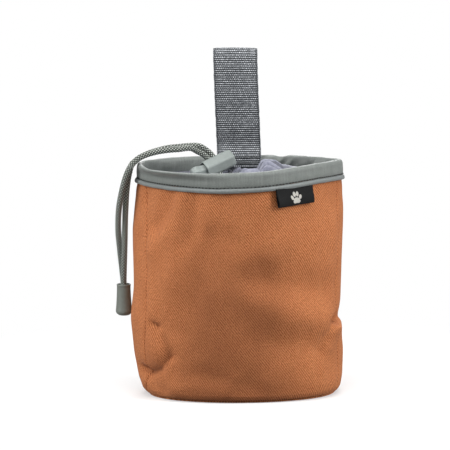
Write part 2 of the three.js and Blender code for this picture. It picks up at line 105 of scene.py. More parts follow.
def vnoise(x, y=0.0, z=0.0, seed=0):
    """Smooth value noise, -1 to 1."""
    coords = np.broadcast_arrays(*(np.asarray(v, float) for v in (x, y, z)))
    cells = [np.floor(v) for v in coords]
    ix, iy, iz = (c.astype(np.int64) for c in cells)
    shares = [v - c for v, c in zip(coords, cells)]
    tx, ty, tz = (t * t * t * (t * (t * 6 - 15) + 10) for t in shares)
    out = 0
    for dx in (0, 1):
        for dy in (0, 1):
            for dz in (0, 1):
                weight = (tx if dx else 1 - tx) * (ty if dy else 1 - ty) * (tz if dz else 1 - tz)
                out = out + weight * lattice(ix + dx, iy + dy, iz + dz, seed)
    return out


def fbm(x, y, z, seed, octaves):
    """Value noise summed over octaves, each half as strong and twice as fine."""
    out = 0
    for i in range(octaves):
        k = 2.0**i
        out = out + vnoise(x * k, y * k, z * k, seed + 17 * i) / k
    return out


def unit(vectors):
    return vectors / np.linalg.norm(vectors, axis=-1, keepdims=True)


def lengths(path):
    """Length along a path at each of its points."""
    return np.r_[0, np.cumsum(np.linalg.norm(np.diff(path, axis=0), axis=1))]


def resample(path, dist, where):
    return np.stack([np.interp(where, dist, column) for column in path.T], 1)


def spline(points, count, closed=False):
    """Centripetal curve through points, sampled evenly by length. Returns points and lengths."""
    knots = [np.asarray(p, float) for p in points]
    if closed:
        knots = [knots[-1], *knots, knots[0], knots[1]]
    else:
        knots = [2 * knots[0] - knots[1], *knots, 2 * knots[-1] - knots[-2]]
    curve = []
    for a, b, c, d in zip(knots, knots[1:], knots[2:], knots[3:]):
        t1 = np.linalg.norm(b - a) ** 0.5
        t2 = t1 + np.linalg.norm(c - b) ** 0.5
        t3 = t2 + np.linalg.norm(d - c) ** 0.5
        t = np.linspace(t1, t2, 24, endpoint=False)[:, None]

        def between(p, q, tp, tq):
            return (tq - t) / (tq - tp) * p + (t - tp) / (tq - tp) * q

        ab, bc, cd = between(a, b, 0.0, t1), between(b, c, t1, t2), between(c, d, t2, t3)
        curve.append(between(between(ab, bc, 0.0, t2), between(bc, cd, t1, t3), t1, t2))
    curve = np.concatenate([*curve, knots[-2][None]])
    dist = lengths(curve)
    where = np.linspace(0, dist[-1], count)
    return resample(curve, dist, where), where


# ------------------------------------------------------------------ meshes
def make_mesh(name, points, quads, caps=(), attrs=None):
    """Object from mm points, quads and larger cap faces, turned so that its faces look out."""
    verts = np.asarray(points, float).reshape(-1, 3) * 0.001

    def volume(a, b, c):
        return (a * np.cross(b, c)).sum()

    a, b, c, d = (verts[quads[:, k]] for k in range(4))
    total = volume(a, b, c) + volume(a, c, d)
    for cap in caps:
        total += volume(verts[cap[0]], verts[cap[1:-1]], verts[cap[2:]])
    turn = -1 if total < 0 else 1
    loops = np.concatenate([quads[:, ::turn].ravel(), *(cap[::turn] for cap in caps)])
    sizes = np.array([4] * len(quads) + [len(cap) for cap in caps], np.int32)
    mesh = bpy.data.meshes.new(name)
    mesh.vertices.add(len(verts))
    mesh.vertices.foreach_set("co", verts.astype(np.float32).ravel())
    mesh.loops.add(len(loops))
    mesh.loops.foreach_set("vertex_index", loops.astype(np.int32))
    mesh.polygons.add(len(sizes))
    mesh.polygons.foreach_set("loop_start", np.r_[0, np.cumsum(sizes)[:-1]].astype(np.int32))
    mesh.polygons.foreach_set("loop_total", sizes)
    mesh.polygons.foreach_set("use_smooth", np.full(len(sizes), True))
    mesh.update(calc_edges=True)
    mesh.validate()
    for key, values in (attrs or {}).items():
        kind, field = ("FLOAT_VECTOR", "vector") if key == "weave" else ("FLOAT", "value")
        flat = np.asarray(values, np.float32).ravel()
        mesh.attributes.new(key, kind, "POINT").data.foreach_set(field, flat)
    obj = bpy.data.objects.new(name, mesh)
    bpy.context.scene.collection.objects.link(obj)
    return obj


def grid_faces(rows, columns, ring, tube, base=0):
    """Quads of a grid. ring closes its first direction, tube its second."""
    r, c = np.meshgrid(
        np.arange(rows if ring else rows - 1),
        np.arange(columns if tube else columns - 1),
        indexing="ij",
    )
    r2, c2 = (r + 1) % rows, (c + 1) % columns
    corners = [r * columns + c, r2 * columns + c, r2 * columns + c2, r * columns + c2]
    return np.stack(corners, -1).reshape(-1, 4) + base


def loft(name, points, weave=None, ring=False, attrs=None):
    """Closed sections in a row: (sections, section points, 3). A ring joins its last section
    to its first, otherwise both ends are capped."""
    rows, columns = points.shape[:2]
    end = np.arange(columns)
    caps = [] if ring else [end, ((rows - 1) * columns + end)[::-1]]
    attrs = dict(attrs or {})
    if weave is not None:
        attrs["weave"] = weave
    return make_mesh(name, points, grid_faces(rows, columns, ring, True), caps, attrs)


def sheet(name, outer, inner, weave, attrs, ring=False):
    """A closed skin from an outer and an inner surface, both (rows, columns, 3)."""
    rows, columns = outer.shape[:2]
    quads = [grid_faces(rows, 2 * columns, ring, True)]
    if not ring:
        for row in (0, rows - 1):
            out = row * 2 * columns + np.arange(columns)
            back = row * 2 * columns + 2 * columns - 1 - np.arange(columns)
            cap = np.stack([out[:-1], out[1:], back[1:], back[:-1]], 1)
            quads.append(cap[:, ::-1] if row else cap)
    both = {k: np.concatenate([v, v[:, ::-1]], 1) for k, v in {"weave": weave, **attrs}.items()}
    points = np.concatenate([outer, inner[:, ::-1]], 1)
    return make_mesh(name, points, np.concatenate(quads), attrs=both)


def weave_grid(x, y):
    """Cloth coordinates in mm, read by the materials."""
    x, y = np.broadcast_arrays(x, y)
    return np.stack([x, y, 0 * x], -1)


def tube_frames(path):
    """Two directions across a path, carried along it without twist."""
    along = unit(np.gradient(path, axis=0))
    ref = np.array([0, 0, 1.0]) if abs(along[0][2]) < 0.9 else np.array([0, 1.0, 0])
    across = np.zeros_like(path)
    for i, step in enumerate(along):
        before = across[i - 1] if i else ref
        across[i] = unit(before - step * (before @ step))
    return across, np.cross(along, across)


def tube(path, across, up, radius, turn):
    """Sections round a path. radius may vary along it and with the angle turn."""
    radius = np.broadcast_to(radius, (len(path), len(turn)))[..., None]
    ring = np.cos(turn)[:, None] * across[:, None] + np.sin(turn)[:, None] * up[:, None]
    return path[:, None] + radius * ring


@contextmanager
def editing(obj):
    bm = bmesh.new()
    bm.from_mesh(obj.data)
    yield bm
    bm.to_mesh(obj.data)
    bm.free()


def shade_by_angle(obj, degrees):
    """Smooth shading with sharp edges where faces meet at more than the angle."""
    with editing(obj) as bm:
        for face in bm.faces:
            face.smooth = True
        for edge in bm.edges:
            if len(edge.link_faces) == 2:
                edge.smooth = edge.calc_face_angle(0) < math.radians(degrees)


def dress(obj, material, slot, *nodes):
    """Give a piece its material, and name the CAD nodes it stands in for. slot is not used."""
    obj.data.materials.clear()
    obj.data.materials.append(material)
    if nodes:
        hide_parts(*nodes)
    return obj


def set_blend(obj, weight):
    """Own weights, 0 to 1, in place of the straight blend."""
    data = obj.data.attributes["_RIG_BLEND"].data
    data.foreach_set("value", weight.reshape(-1).astype(np.float32))


# ------------------------------------------------------------------ materials
class Shader:
    """A material and short ways to add nodes to it."""

    def __init__(self, name):
        self.material = bpy.data.materials.new(name)
        self.material.use_nodes = True
        self.tree = self.material.node_tree
        self.tree.nodes.clear()
        self.output = self.node("OutputMaterial")
        self.surface = self.node("BsdfPrincipled")
        self.tree.links.new(self.surface.outputs[0], self.output.inputs[0])

    def node(self, kind):
        return self.tree.nodes.new("ShaderNode" + kind)

    def put(self, socket, value):
        if isinstance(value, bpy.types.NodeSocket):
            self.tree.links.new(value, socket)
        else:
            socket.default_value = value

    def finish(self, **inputs):
        """Fill inputs of the surface and return the material."""
        for key, value in inputs.items():
            self.put(self.surface.inputs[key.replace("_", " ")], value)
        return self.material

    def math(self, operation, a, b=0.0, c=0.0, clamp=False):
        node = self.node("Math")
        node.operation = operation
        node.use_clamp = clamp
        for socket, value in zip(node.inputs, (a, b, c)):
            self.put(socket, value)
        return node.outputs[0]

    def times_plus(self, value, factor, plus):
        return self.math("MULTIPLY_ADD", value, factor, plus)

    def weigh(self, a, share_a, b, share_b, operation="ADD"):
        """The sum, or difference, of two weighted values."""
        first, second = self.math("MULTIPLY", a, share_a), self.math("MULTIPLY", b, share_b)
        return self.math(operation, first, second)

    def attr(self, name, output="Fac"):
        node = self.node("Attribute")
        node.attribute_name = name
        return node.outputs[output]

    def xyz(self, vector):
        node = self.node("SeparateXYZ")
        self.put(node.inputs[0], vector)
        return list(node.outputs)

    def weave(self):
        """x, y and z of the cloth coordinates, in mm."""
        return self.xyz(self.attr("weave", "Vector"))

    def coord(self):
        return self.node("TexCoord").outputs["Object"]

    def noise(self, vector, scale, detail=2.0, rough=0.5, distortion=0.0):
        node = self.node("TexNoise")
        values = zip(
            ("Vector", "Scale", "Detail", "Roughness", "Distortion"),
            (vector, scale, detail, rough, distortion),
        )
        for key, value in values:
            self.put(node.inputs[key], value)
        return node.outputs["Fac"]

    def grain(self, place, per_x, per_y, z=0.0, detail=2.0, rough=0.5):
        """Noise over the cloth, with its own fineness along x and y (per mm)."""
        node = self.node("CombineXYZ")
        x, y = (self.math("MULTIPLY", v, k) for v, k in zip(place, (per_x, per_y)))
        for socket, value in zip(node.inputs, (x, y, z)):
            self.put(socket, value)
        return self.noise(node.outputs[0], 1.0, detail, rough)

    def mix(self, share, a, b):
        node = self.node("Mix")
        node.data_type = "RGBA"
        node.blend_type = "MIX"
        node.clamp_factor = True
        self.put(node.inputs[0], share)
        for socket, colour in ((node.inputs[6], a), (node.inputs[7], b)):
            self.put(socket, (*colour, 1.0) if isinstance(colour, tuple) else colour)
        return node.outputs[2]

    def fade(self, value, span, result):
        """Map the span of a value to a result span, clamped."""
        node = self.node("MapRange")
        node.clamp = True
        for socket, number in zip(node.inputs, (value, *span, *result)):
            self.put(socket, number)
        return node.outputs[0]

    def layers(self, base, *rows):
        """Lay colours over a base. Rows: source, its span, the colour's share over that span,
        the colour."""
        for source, span, share, colour in rows:
            base = self.mix(self.fade(source, span, share), base, colour)
        return base

    def wash(self, base, attribute, strength, colour):
        """Lay a colour over the base where a mesh attribute says so."""
        share = self.math("MULTIPLY", self.attr(attribute), strength, clamp=True)
        return self.mix(share, base, colour)

    def bump(self, height, distance, strength, normal=None):
        """Bump with its distance in metres."""
        node = self.node("Bump")
        node.inputs["Strength"].default_value = strength
        node.inputs["Distance"].default_value = distance
        self.put(node.inputs["Height"], height)
        if normal is not None:
            self.put(node.inputs["Normal"], normal)
        return node.outputs[0]

    def wave(self, x, period):
        """0..1 sine of x (mm) with the given period (mm)."""
        sine = self.math("SINE", self.times_plus(x, TAU / period, 0.0))
        return self.times_plus(sine, 0.5, 0.5)


def srgb(*colour):
    """Linear colour from sRGB, 0 to 255."""

    def linear(v):
        v /= 255.0
        return v / 12.92 if v <= 0.04045 else ((v + 0.055) / 1.055) ** 2.4

    return tuple(linear(v) for v in colour)


def srgb_scaled(colour, factor):
    return srgb(*[min(255, v * factor) for v in colour])


def scaled(colour, factor):
    return tuple(v * factor for v in colour)


def twill_material():
    mat = Shader("rust_twill")
    x, y, _ = mat.weave()
    place = (x, y)
    # twill ribs fall to the right, wobbling a little
    wobble = mat.grain(place, 0.16, 0.16)
    slant = mat.times_plus(wobble, 0.75, mat.weigh(x, 0.80, y, 0.60))
    rib = mat.wave(slant, period=1.16)
    # yarn floats along each rib, and the yarns that cross them
    along = mat.weigh(x, 0.60, y, 0.80, "SUBTRACT")
    cross = mat.wave(mat.times_plus(slant, 0.5, along), period=0.95)
    fine = mat.wave(x, period=0.52)
    height = mat.times_plus(fine, 0.12, mat.weigh(rib, 0.62, cross, 0.26))
    # flecks, thick yarns and clouds of the melange, and yarns that took the dye differently
    fleck = mat.grain(place, 1.9, 1.1, detail=3.0, rough=0.75)
    slub = mat.grain(place, 0.9, 0.12, z=3.0, rough=0.6)
    cloud = mat.grain(place, 0.05, 0.05, z=7.0, detail=3.0, rough=0.6)
    speck = mat.grain(place, 1.15, 0.95, z=9.0, rough=0.65)
    colour = mat.layers(
        srgb(121, 60, 29),
        (height, (0.15, 0.85), (0.0, 1.0), srgb(218, 139, 87)),
        (fleck, (0.51, 0.68), (0.0, 0.55), srgb(232, 160, 110)),
        (fleck, (0.48, 0.32), (0.0, 0.50), srgb(96, 46, 20)),
        (speck, (0.52, 0.66), (0.0, 0.40), srgb(222, 144, 92)),
        (speck, (0.48, 0.34), (0.0, 0.40), srgb(100, 50, 24)),
        (slub, (0.35, 0.7), (0.0, 0.16), srgb(214, 140, 96)),
        (cloud, (0.38, 0.66), (0.0, 0.20), srgb(140, 78, 44)),
    )
    ribs = mat.bump(height, distance=0.00022, strength=0.9)
    return mat.finish(
        # painted shade where the shade attribute says so
        Base_Color=mat.wash(colour, "shade", 0.75, srgb(92, 48, 26)),
        Roughness=mat.fade(height, (0, 1), (0.95, 0.8)),
        Sheen_Weight=0.12,
        Sheen_Roughness=0.45,
        Sheen_Tint=(*srgb(236, 190, 160), 1),
        Specular_IOR_Level=0.25,
        Normal=mat.bump(fleck, distance=0.00010, strength=0.6, normal=ribs),
    )


def satin_material(name, dark, light, rough, period=0.42):
    """Ribbed tape. period is the spacing of its threads in mm."""
    mat = Shader(name)
    x, y, _ = mat.weave()
    place = (x, y)
    thread = mat.wave(x, period)
    pick = mat.wave(mat.times_plus(x, 0.8, y), period * 1.9)
    # fine ribs run up and over the tape
    streak = mat.grain(place, 0.95, 0.07, detail=3.0, rough=0.6)
    grain = mat.grain(place, 1.6, 1.5, z=4.0, rough=0.6)
    cloud = mat.grain(place, 0.09, 0.2, z=2.0)
    height = mat.weigh(thread, 0.6, pick, 0.4)
    colour = mat.layers(
        dark,
        (streak, (0.30, 0.70), (0.2, 0.8), light),
        (grain, (0.52, 0.70), (0.0, 0.28), scaled(light, 1.3)),
        (grain, (0.48, 0.30), (0.0, 0.25), scaled(dark, 0.62)),
        (height, (0.0, 1.0), (0.18, 0.0), scaled(dark, 0.55)),
        (cloud, (0.35, 0.7), (0.0, 0.2), scaled(dark, 0.8)),
    )
    # painted highlight along the crown of the top fold
    colour = mat.wash(colour, "painted_highlight", 0.40, srgb(186, 192, 189))
    return mat.finish(
        # painted shade where the shade attribute says so: in the hollows of the inner face, along the lower
        # edge, and in the ditch above the piping
        Base_Color=mat.wash(colour, "shade", 0.75, scaled(dark, 0.35)),
        Roughness=mat.fade(streak, (0.3, 0.7), (rough - 0.06, rough + 0.1)),
        Sheen_Weight=0.2,
        Specular_IOR_Level=0.4,
        Sheen_Roughness=0.4,
        Normal=mat.bump(height, distance=0.00006, strength=0.7),
    )


def webbing_material():
    mat = Shader("grey_webbing")
    relief = mat.attr("relief")
    place = mat.weave()[:2]
    fibre = mat.grain(place, 3.0, 9.0, rough=0.7)
    patch = mat.grain(place, 0.6, 0.5, z=5.0)
    # painted shade in the gaps of the weave, painted highlight on its raised dots, both following the relief
    colour = mat.layers(
        srgb(20, 21, 24),
        (relief, (0.14, 0.50), (0.0, 1.0), srgb(132, 136, 141)),
        (relief, (0.52, 0.84), (0.0, 1.0), srgb(228, 231, 235)),
        (patch, (0.40, 0.7), (0.0, 0.30), srgb(62, 66, 70)),
        (fibre, (0.3, 0.7), (0.0, 0.12), srgb(100, 104, 106)),
    )
    return mat.finish(
        Base_Color=colour,
        Roughness=mat.fade(fibre, (0.2, 0.8), (0.55, 0.85)),
        Sheen_Weight=0.12,
        Specular_IOR_Level=0.35,
        Normal=mat.bump(fibre, distance=0.00008, strength=0.6),
    )


def cord_material():
    mat = Shader("braided_cord")
    relief = mat.attr("relief")
    x, y, z = mat.weave()
    fibre = mat.grain((x, y), 5.0, 5.0, z=z, rough=0.7)
    # painted shade in the gaps between the strands, painted highlight on their crowns, both following the
    # relief
    colour = mat.layers(
        srgb(4, 5, 4),
        (relief, (0.36, 0.74), (0.0, 1.0), srgb(94, 99, 91)),
        (relief, (0.70, 0.94), (0.0, 0.95), srgb(214, 220, 213)),
        (fibre, (0.3, 0.7), (0.0, 0.15), srgb(80, 85, 79)),
    )
    return mat.finish(
        Base_Color=colour,
        Roughness=mat.fade(fibre, (0.2, 0.8), (0.5, 0.8)),
        Sheen_Weight=0.15,
        Specular_IOR_Level=0.35,
        Normal=mat.bump(fibre, distance=0.00006, strength=0.6),
    )


def nylon_material(name, dark, light, rough):
    mat = Shader(name)
    coord = mat.coord()
    x, y, _ = mat.weave()
    height = mat.math("MAXIMUM", mat.wave(x, period=0.34), mat.wave(y, period=0.34))
    crush = mat.noise(coord, 420.0, detail=4.0, rough=0.62, distortion=0.8)
    fine = mat.noise(coord, 1500.0, detail=2.0, rough=0.6)
    colour = mat.layers(
        srgb(*dark),
        (crush, (0.32, 0.68), (0.0, 1.0), srgb(*light)),
        (height, (0.0, 1.0), (0.2, 0.0), srgb_scaled(dark, 0.7)),
    )
    threads = mat.bump(height, distance=0.00004, strength=0.5)
    return mat.finish(
        # painted shade where the shade attribute says so
        Base_Color=mat.wash(colour, "shade", 0.8, srgb_scaled(dark, 0.33)),
        Roughness=mat.fade(fine, (0.3, 0.7), (rough - 0.08, rough + 0.14)),
        Sheen_Weight=0.25,
        Specular_IOR_Level=0.5,
        Normal=mat.bump(crush, distance=0.0004, strength=0.22, normal=threads),
    )


def plastic_material(name, base, rough=0.38, pale_edges=0.5):
    """The last argument sets how much paler the sharp edges are made."""
    mat = Shader(name)
    coord = mat.coord()
    grain = mat.noise(coord, 2600.0, detail=3.0, rough=0.6)
    cloud = mat.noise(coord, 90.0, detail=3.0, rough=0.6)
    flow = mat.noise(coord, 260.0, distortion=1.5)
    edges = mat.node("NewGeometry").outputs["Pointiness"]
    colour = mat.layers(
        srgb(*base),
        (cloud, (0.3, 0.7), (0.0, 0.5), srgb_scaled(base, 1.1)),
        (flow, (0.35, 0.7), (0.0, 0.25), srgb_scaled(base, 0.9)),
        (edges, (0.50, 0.56), (0.0, pale_edges), srgb_scaled(base, 1.28)),
    )
    return mat.finish(
        Base_Color=colour,
        Roughness=mat.fade(grain, (0.3, 0.7), (rough - 0.05, rough + 0.12)),
        Specular_IOR_Level=0.45,
        Normal=mat.bump(grain, distance=0.00003, strength=0.5),
    )


def thread_material(name, dark, light):
    mat = Shader(name)
    x, y, _ = mat.weave()
    ply = mat.wave(mat.times_plus(y, 0.6, x), period=0.38)
    return mat.finish(
        Base_Color=mat.mix(ply, srgb(*dark), srgb(*light)),
        Roughness=mat.fade(ply, (0, 1), (0.8, 0.6)),
        Sheen_Weight=0.2,
        Normal=mat.bump(ply, distance=0.00008, strength=0.7),
    )


def steel_material():
    mat = Shader("spring_wire")
    grain = mat.noise(mat.coord(), 900.0)
    return mat.finish(
        Base_Color=mat.layers(
            (0.45, 0.45, 0.46),
            (grain, (0.3, 0.7), (0, 1), (0.62, 0.62, 0.63)),
        ),
        Metallic=1.0,
        Roughness=mat.fade(grain, (0.3, 0.7), (0.22, 0.4)),
    )


def label_material():
    mat = Shader("woven_label")
    x, y, _ = mat.weave()
    motif = mat.attr("motif")
    height = mat.weigh(mat.wave(y, period=0.36), 0.6, mat.wave(x, period=0.3), 0.4)
    black = mat.mix(height, srgb(4, 4, 5), srgb(17, 18, 19))
    pale = mat.mix(height, srgb(150, 148, 142), srgb(222, 220, 212))
    raised = mat.times_plus(motif, 0.6, height)
    return mat.finish(
        Base_Color=mat.layers(black, (motif, (0.35, 0.65), (0, 1), pale)),
        Roughness=mat.fade(height, (0, 1), (0.75, 0.5)),
        Sheen_Weight=0.04,
        Specular_IOR_Level=0.2,
        Normal=mat.bump(raised, distance=0.00010, strength=0.7),
    )


TWILL = twill_material()
BINDING = satin_material("grey_binding", srgb(108, 113, 110), srgb(136, 141, 137), rough=0.5)
PIPING = satin_material(
    "grey_piping", srgb(114, 119, 118), srgb(140, 146, 145), rough=0.46, period=0.36
)
WEBBING = webbing_material()
BRAID = cord_material()
NYLON = nylon_material("violet_nylon", (116, 118, 134), (156, 158, 173), rough=0.42)
LINING = nylon_material("lining_nylon", (112, 114, 130), (146, 148, 162), rough=0.5)
LOCK_PLASTIC = plastic_material("lock_plastic", (129, 136, 133))
BELL_PLASTIC = plastic_material("bell_plastic", (108, 112, 106))
DARK_THREAD = thread_material("dark_thread", (26, 28, 26), (64, 67, 64))
TACK_THREAD = thread_material("tack_thread", (58, 60, 62), (112, 116, 118))
# a spare in the colour of the cloth, worn by no piece
thread_material("rust_thread", (120, 66, 38), (190, 120, 80))
HOOP = plastic_material("hoop_strip", (214, 214, 208), rough=0.45, pale_edges=0.2)
STEEL = steel_material()
LABEL = label_material()


# ------------------------------------------------------------------ plan of the pouch
# height, then how far the body reaches to the left, right, front and back
PLAN = np.array([
    [0.3, 54.9, 55.2, 40.6, 27.2],
    [4, 57.3, 57.3, 42.9, 29.0],
    [10, 59.8, 58.4, 44.0, 30.0],
    [24, 62.2, 59.0, 45.0, 30.6],
    [44, 63.3, 57.4, 45.8, 31.0],
    [62, 61.9, 57.9, 46.2, 31.0],
    [80, 62.3, 58.7, 46.8, 30.8],
    [96, 62.2, 59.4, 47.4, 30.4],
    [108, 61.0, 59.6, 48.2, 30.0],
    [118, 59.7, 58.8, 49.2, 29.6],
    [124, 58.7, 58.6, 49.7, 29.3],
    [129, 58.3, 58.4, 50.0, 29.0],
    [134, 58.3, 58.4, 50.4, 29.0],
    [140, 58.3, 58.4, 50.8, 29.0],
])
PLAN_Z = np.arange(0.0, 139.6, 0.25)
# power of the front curve: higher makes it more pointed; the rim differs on its left
SHARP, SHARP_TOP_LEFT = 1.7, 0.95


def smooth_plan():
    """The plan's four reaches at each PLAN_Z, smoothed except close to the base."""
    reach, sigma = 16, 2.0
    kernel = np.exp(-0.5 * (np.arange(-reach, reach + 1) * 0.25 / sigma) ** 2)
    kernel /= kernel.sum()
    tables = []
    for column in PLAN.T[1:]:
        raw = np.interp(PLAN_Z, PLAN[:, 0], column)
        smooth = np.convolve(np.pad(raw, reach, mode="edge"), kernel, "valid")
        share = ramp(4, 14, PLAN_Z)
        tables.append(raw * (1 - share) + smooth * share)
    return tables


PLAN_TABLES = smooth_plan()


def plan(z):
    return [np.interp(z, PLAN_Z, table) for table in PLAN_TABLES]


def outward(phi, z):
    """x and y of one step off the plan, a little squared at the base."""
    cos, sin = np.cos(phi), np.sin(phi)
    return cos * (1 + 0.012 * ramp(14, 2, z) * np.abs(2 * cos * sin)), sin


def on_plan(phi, z, off=0.0):
    """x and y on the body's outline, or off mm outside it."""
    left, right, front, back = plan(z)
    cos, sin = np.cos(phi), np.sin(phi)
    body = 1 + (SHARP - 1) * ramp(60, 118, z)
    top_left = ramp(-0.5, 0.5, -cos) * ramp(129, 134, z)
    power = body + (SHARP_TOP_LEFT - body) * top_left - 0.16 * ramp(18, 4, z)
    x = outward(phi, z)[0] * (np.where(cos < 0, left, right) + off)
    bulge = np.maximum(-sin, 0.0) ** power * front
    return x, np.where(sin < 0, sin * off - bulge, sin * (back + off))


def place(phi, z, off):
    x, y = on_plan(phi, z, off)
    return np.stack([x, y, z + 0 * x], -1)


def phi_of_x(x, z):
    """Angle at which the front of the plan at height z crosses x."""
    left, right, _, _ = plan(z)
    x = np.asarray(x, float)
    return -np.arccos(np.clip(x / np.where(x < 0, left, right), -1, 1))


# arc length round the plan at mid height, used for weaves
ARC_PHI = np.linspace(-PI, PI, 2881)
ARC_S = lengths(np.stack(on_plan(ARC_PHI, np.full_like(ARC_PHI, 70.0)), 1))
GIRTH = ARC_S[-1]


def arc_of(phi):
    return np.interp(np.mod(np.asarray(phi) + PI, TAU) - PI, ARC_PHI, ARC_S)


def phi_at(s):
    return np.interp(s, ARC_S, ARC_PHI)


# ------------------------------------------------------------------ view from the front
VIEW_DISTANCE = 2500.0
VIEW_TARGET = np.array([0, 0, 90.0])
VIEW_TILT, VIEW_ROLL = math.radians(8.65), math.radians(-0.54)


def view_axes():
    """Ahead, right and up of the view, which looks down a little and is slightly rolled."""
    ahead = np.array([0, math.cos(VIEW_TILT), -math.sin(VIEW_TILT)])
    right = np.array([1.0, 0, 0])
    up = np.array([0, math.sin(VIEW_TILT), math.cos(VIEW_TILT)])
    cos, sin = math.cos(VIEW_ROLL), math.sin(VIEW_ROLL)
    return ahead, cos * right + sin * up, -sin * right + cos * up


AHEAD, RIGHT, UP = view_axes()
EYE = VIEW_TARGET - AHEAD * VIEW_DISTANCE


def front_view():
    """A grid of x and z on the bag's front, and where it shows in the view."""
    x, z = np.meshgrid(np.linspace(-57, 57, 77), np.linspace(2, 126, 63), indexing="ij")
    ray = place(phi_of_x(x, z), z, 0.0) - EYE
    scale = VIEW_DISTANCE / (ray @ AHEAD)
    return [v.ravel() for v in (x, z, (ray @ RIGHT) * scale, (ray @ UP) * scale)]


GRID_X, GRID_Z, GRID_RIGHT, GRID_UP = front_view()


def on_front(right, up):
    """(x, z) on the bag's front, seen at mm right and up of VIEW_TARGET on a plane through it."""
    dist = (GRID_RIGHT - right) ** 2 + (GRID_UP - up) ** 2
    near = np.argsort(dist)[:12]
    system = np.c_[GRID_RIGHT[near], GRID_UP[near], np.ones(12)]
    here = np.array([right, up, 1.0])
    fits = (np.linalg.lstsq(system, grid[near], rcond=None)[0] for grid in (GRID_X, GRID_Z))
    return tuple(float(here @ fit) for fit in fits)


# ------------------------------------------------------------------ folds of the bag
def seg(x, y, start, end):
    """Distance to a segment and the share along it."""
    start, end = np.array(start), np.array(end)
    step = end - start
    share = ((x - start[0]) * step[0] + (y - start[1]) * step[1]) / float(step @ step)
    share = np.clip(share, 0, 1)
    return np.hypot(x - (start[0] + share * step[0]), y - (start[1] + share * step[1])), share


def to_line(x, z, points):
    """Distance to a polyline."""
    return np.minimum.reduce([seg(x, z, p, q)[0] for p, q in zip(points[:-1], points[1:])])


# soft folds of the front: crease line (mm right and up in the front view), width, height
FOLDS = [
    # bulges and hollows at the right
    ([(7.926, -6.885), (47.790, 0.752)], 12.0, 1.3),
    ([(13.886, -24.705), (47.790, -29.796)], 9.0, -2.1),
    ([(7.926, -37.491), (52.071, -50.220)], 9.0, 1.9),
    ([(18.109, -62.081), (46.112, -62.948)], 9.0, -1.6),
    # folds that hang from the rim
    ([(-39.632, 24.474), (-43.856, 11.745), (-49.815, 4.976)], 4.0, -1.5),
    ([(-34.541, 23.664), (-38.764, 9.199), (-51.493, -7.753)], 5.0, 1.3),
    ([(-26.036, 23.664), (-26.903, 4.976), (-32.805, -5.207)], 4.5, -1.1),
    ([(-19.266, 21.928), (-19.266, 7.521)], 4.5, 0.7),
    ([(-12.960, 23.143), (-9.489, 6.364), (-2.546, -6.364)], 5.0, -0.7),
    ([(37.954, 13.307), (34.483, -5.207), (29.854, -14.464)], 6.0, -0.8),
    # long hollow down the left of the middle, and the swell beside it
    ([(-14.175, -3.529), (-31.127, -34.946), (-38.764, -51.898)], 9.0, -1.4),
    ([(-2.546, -14.464), (-8.331, -39.921), (-4.860, -61.907)], 10.0, 0.8),
    # the pucker at the lower left corner
    ([(-47.443, -52.361), (-43.971, -58.146), (-41.310, -65.726)], 3.6, -0.8),
    (
        [(-40.731, -70.007), (-45.360, -75.503), (-52.766, -78.107), (-56.584, -76.255)],
        3.0,
        -2.7,
    ),
    ([(-56.584, -75.677), (-53.460, -77.644)], 1.8, -2.6),
    ([(-54.038, -78.223), (-55.311, -85.860)], 2.2, 1.0),
    ([(-41.310, -74.809), (-38.764, -87.538)], 5.0, 1.3),
    ([(-52.303, -82.157), (-45.938, -89.100)], 3.4, -0.8),
    ([(-50.625, -49.757), (-48.716, -51.493)], 1.5, -1.8),
    # the notch at the right edge and the lobes below it
    ([(55.890, -47.211), (54.154, -47.732)], 2.5, -2.5),
    ([(55.890, -47.211), (52.071, -50.625), (49.063, -56.989)], 2.5, -1.6),
    ([(53.749, -52.766), (51.203, -63.758)], 4.0, 1.5),
    ([(49.063, -60.403), (46.112, -65.494)], 3.2, -0.9),
    # ripples above the base seam
    ([(-25.688, -79.264), (5.554, -86.207)], 6.0, -0.8),
    ([(-8.331, -90.257), (-4.281, -82.735)], 4.0, 0.8),
    ([(17.126, -82.735), (41.426, -79.264)], 7.0, 0.8),
]
# places where the cloth is pinched hard, with painted shade along them: line as above, width, darkness of
# the painted shade
PINCH_SHADE = [
    ([(-56.584, -75.793), (-52.303, -77.818), (-46.517, -76.255)], 1.5, 0.85),
    ([(-42.756, -73.478), (-41.310, -66.304), (-44.550, -56.989)], 1.6, 0.30),
    ([(-50.567, -49.873), (-48.831, -51.377)], 1.0, 0.7),
    ([(56.179, -47.211), (53.865, -48.600)], 1.4, 0.6),
]
FRONT_FOLDS, FRONT_PINCH_SHADE = (
    [([on_front(*point) for point in line], width, amount) for line, width, amount in rows]
    for rows in (FOLDS, PINCH_SHADE)
)
# a round swell at the lower left: centre, half width, half height, how far it stands out
PUFF_AT = on_front(-49.236, -65.378)
PUFF_WIDE, PUFF_HIGH, PUFF_OUT = 7.6, 8.8, 1.9
# long drag lines of the back: from (x, z), to (x, z), width, height
BACK_FOLDS = [
    ((-14, 112), (-34, 62), 4.5, -1.3),
    ((12, 112), (32, 58), 4.5, -1.3),
    ((-4, 108), (-6, 70), 6.0, 0.9),
    ((-40, 34), (-22, 14), 6.0, -1.4),
    ((36, 40), (20, 12), 6.0, -1.2),
    ((-20, 44), (18, 52), 9.0, 0.9),
    ((44, 104), (50, 66), 4.0, -0.9),
    ((-46, 102), (-50, 60), 4.0, -0.9),
]


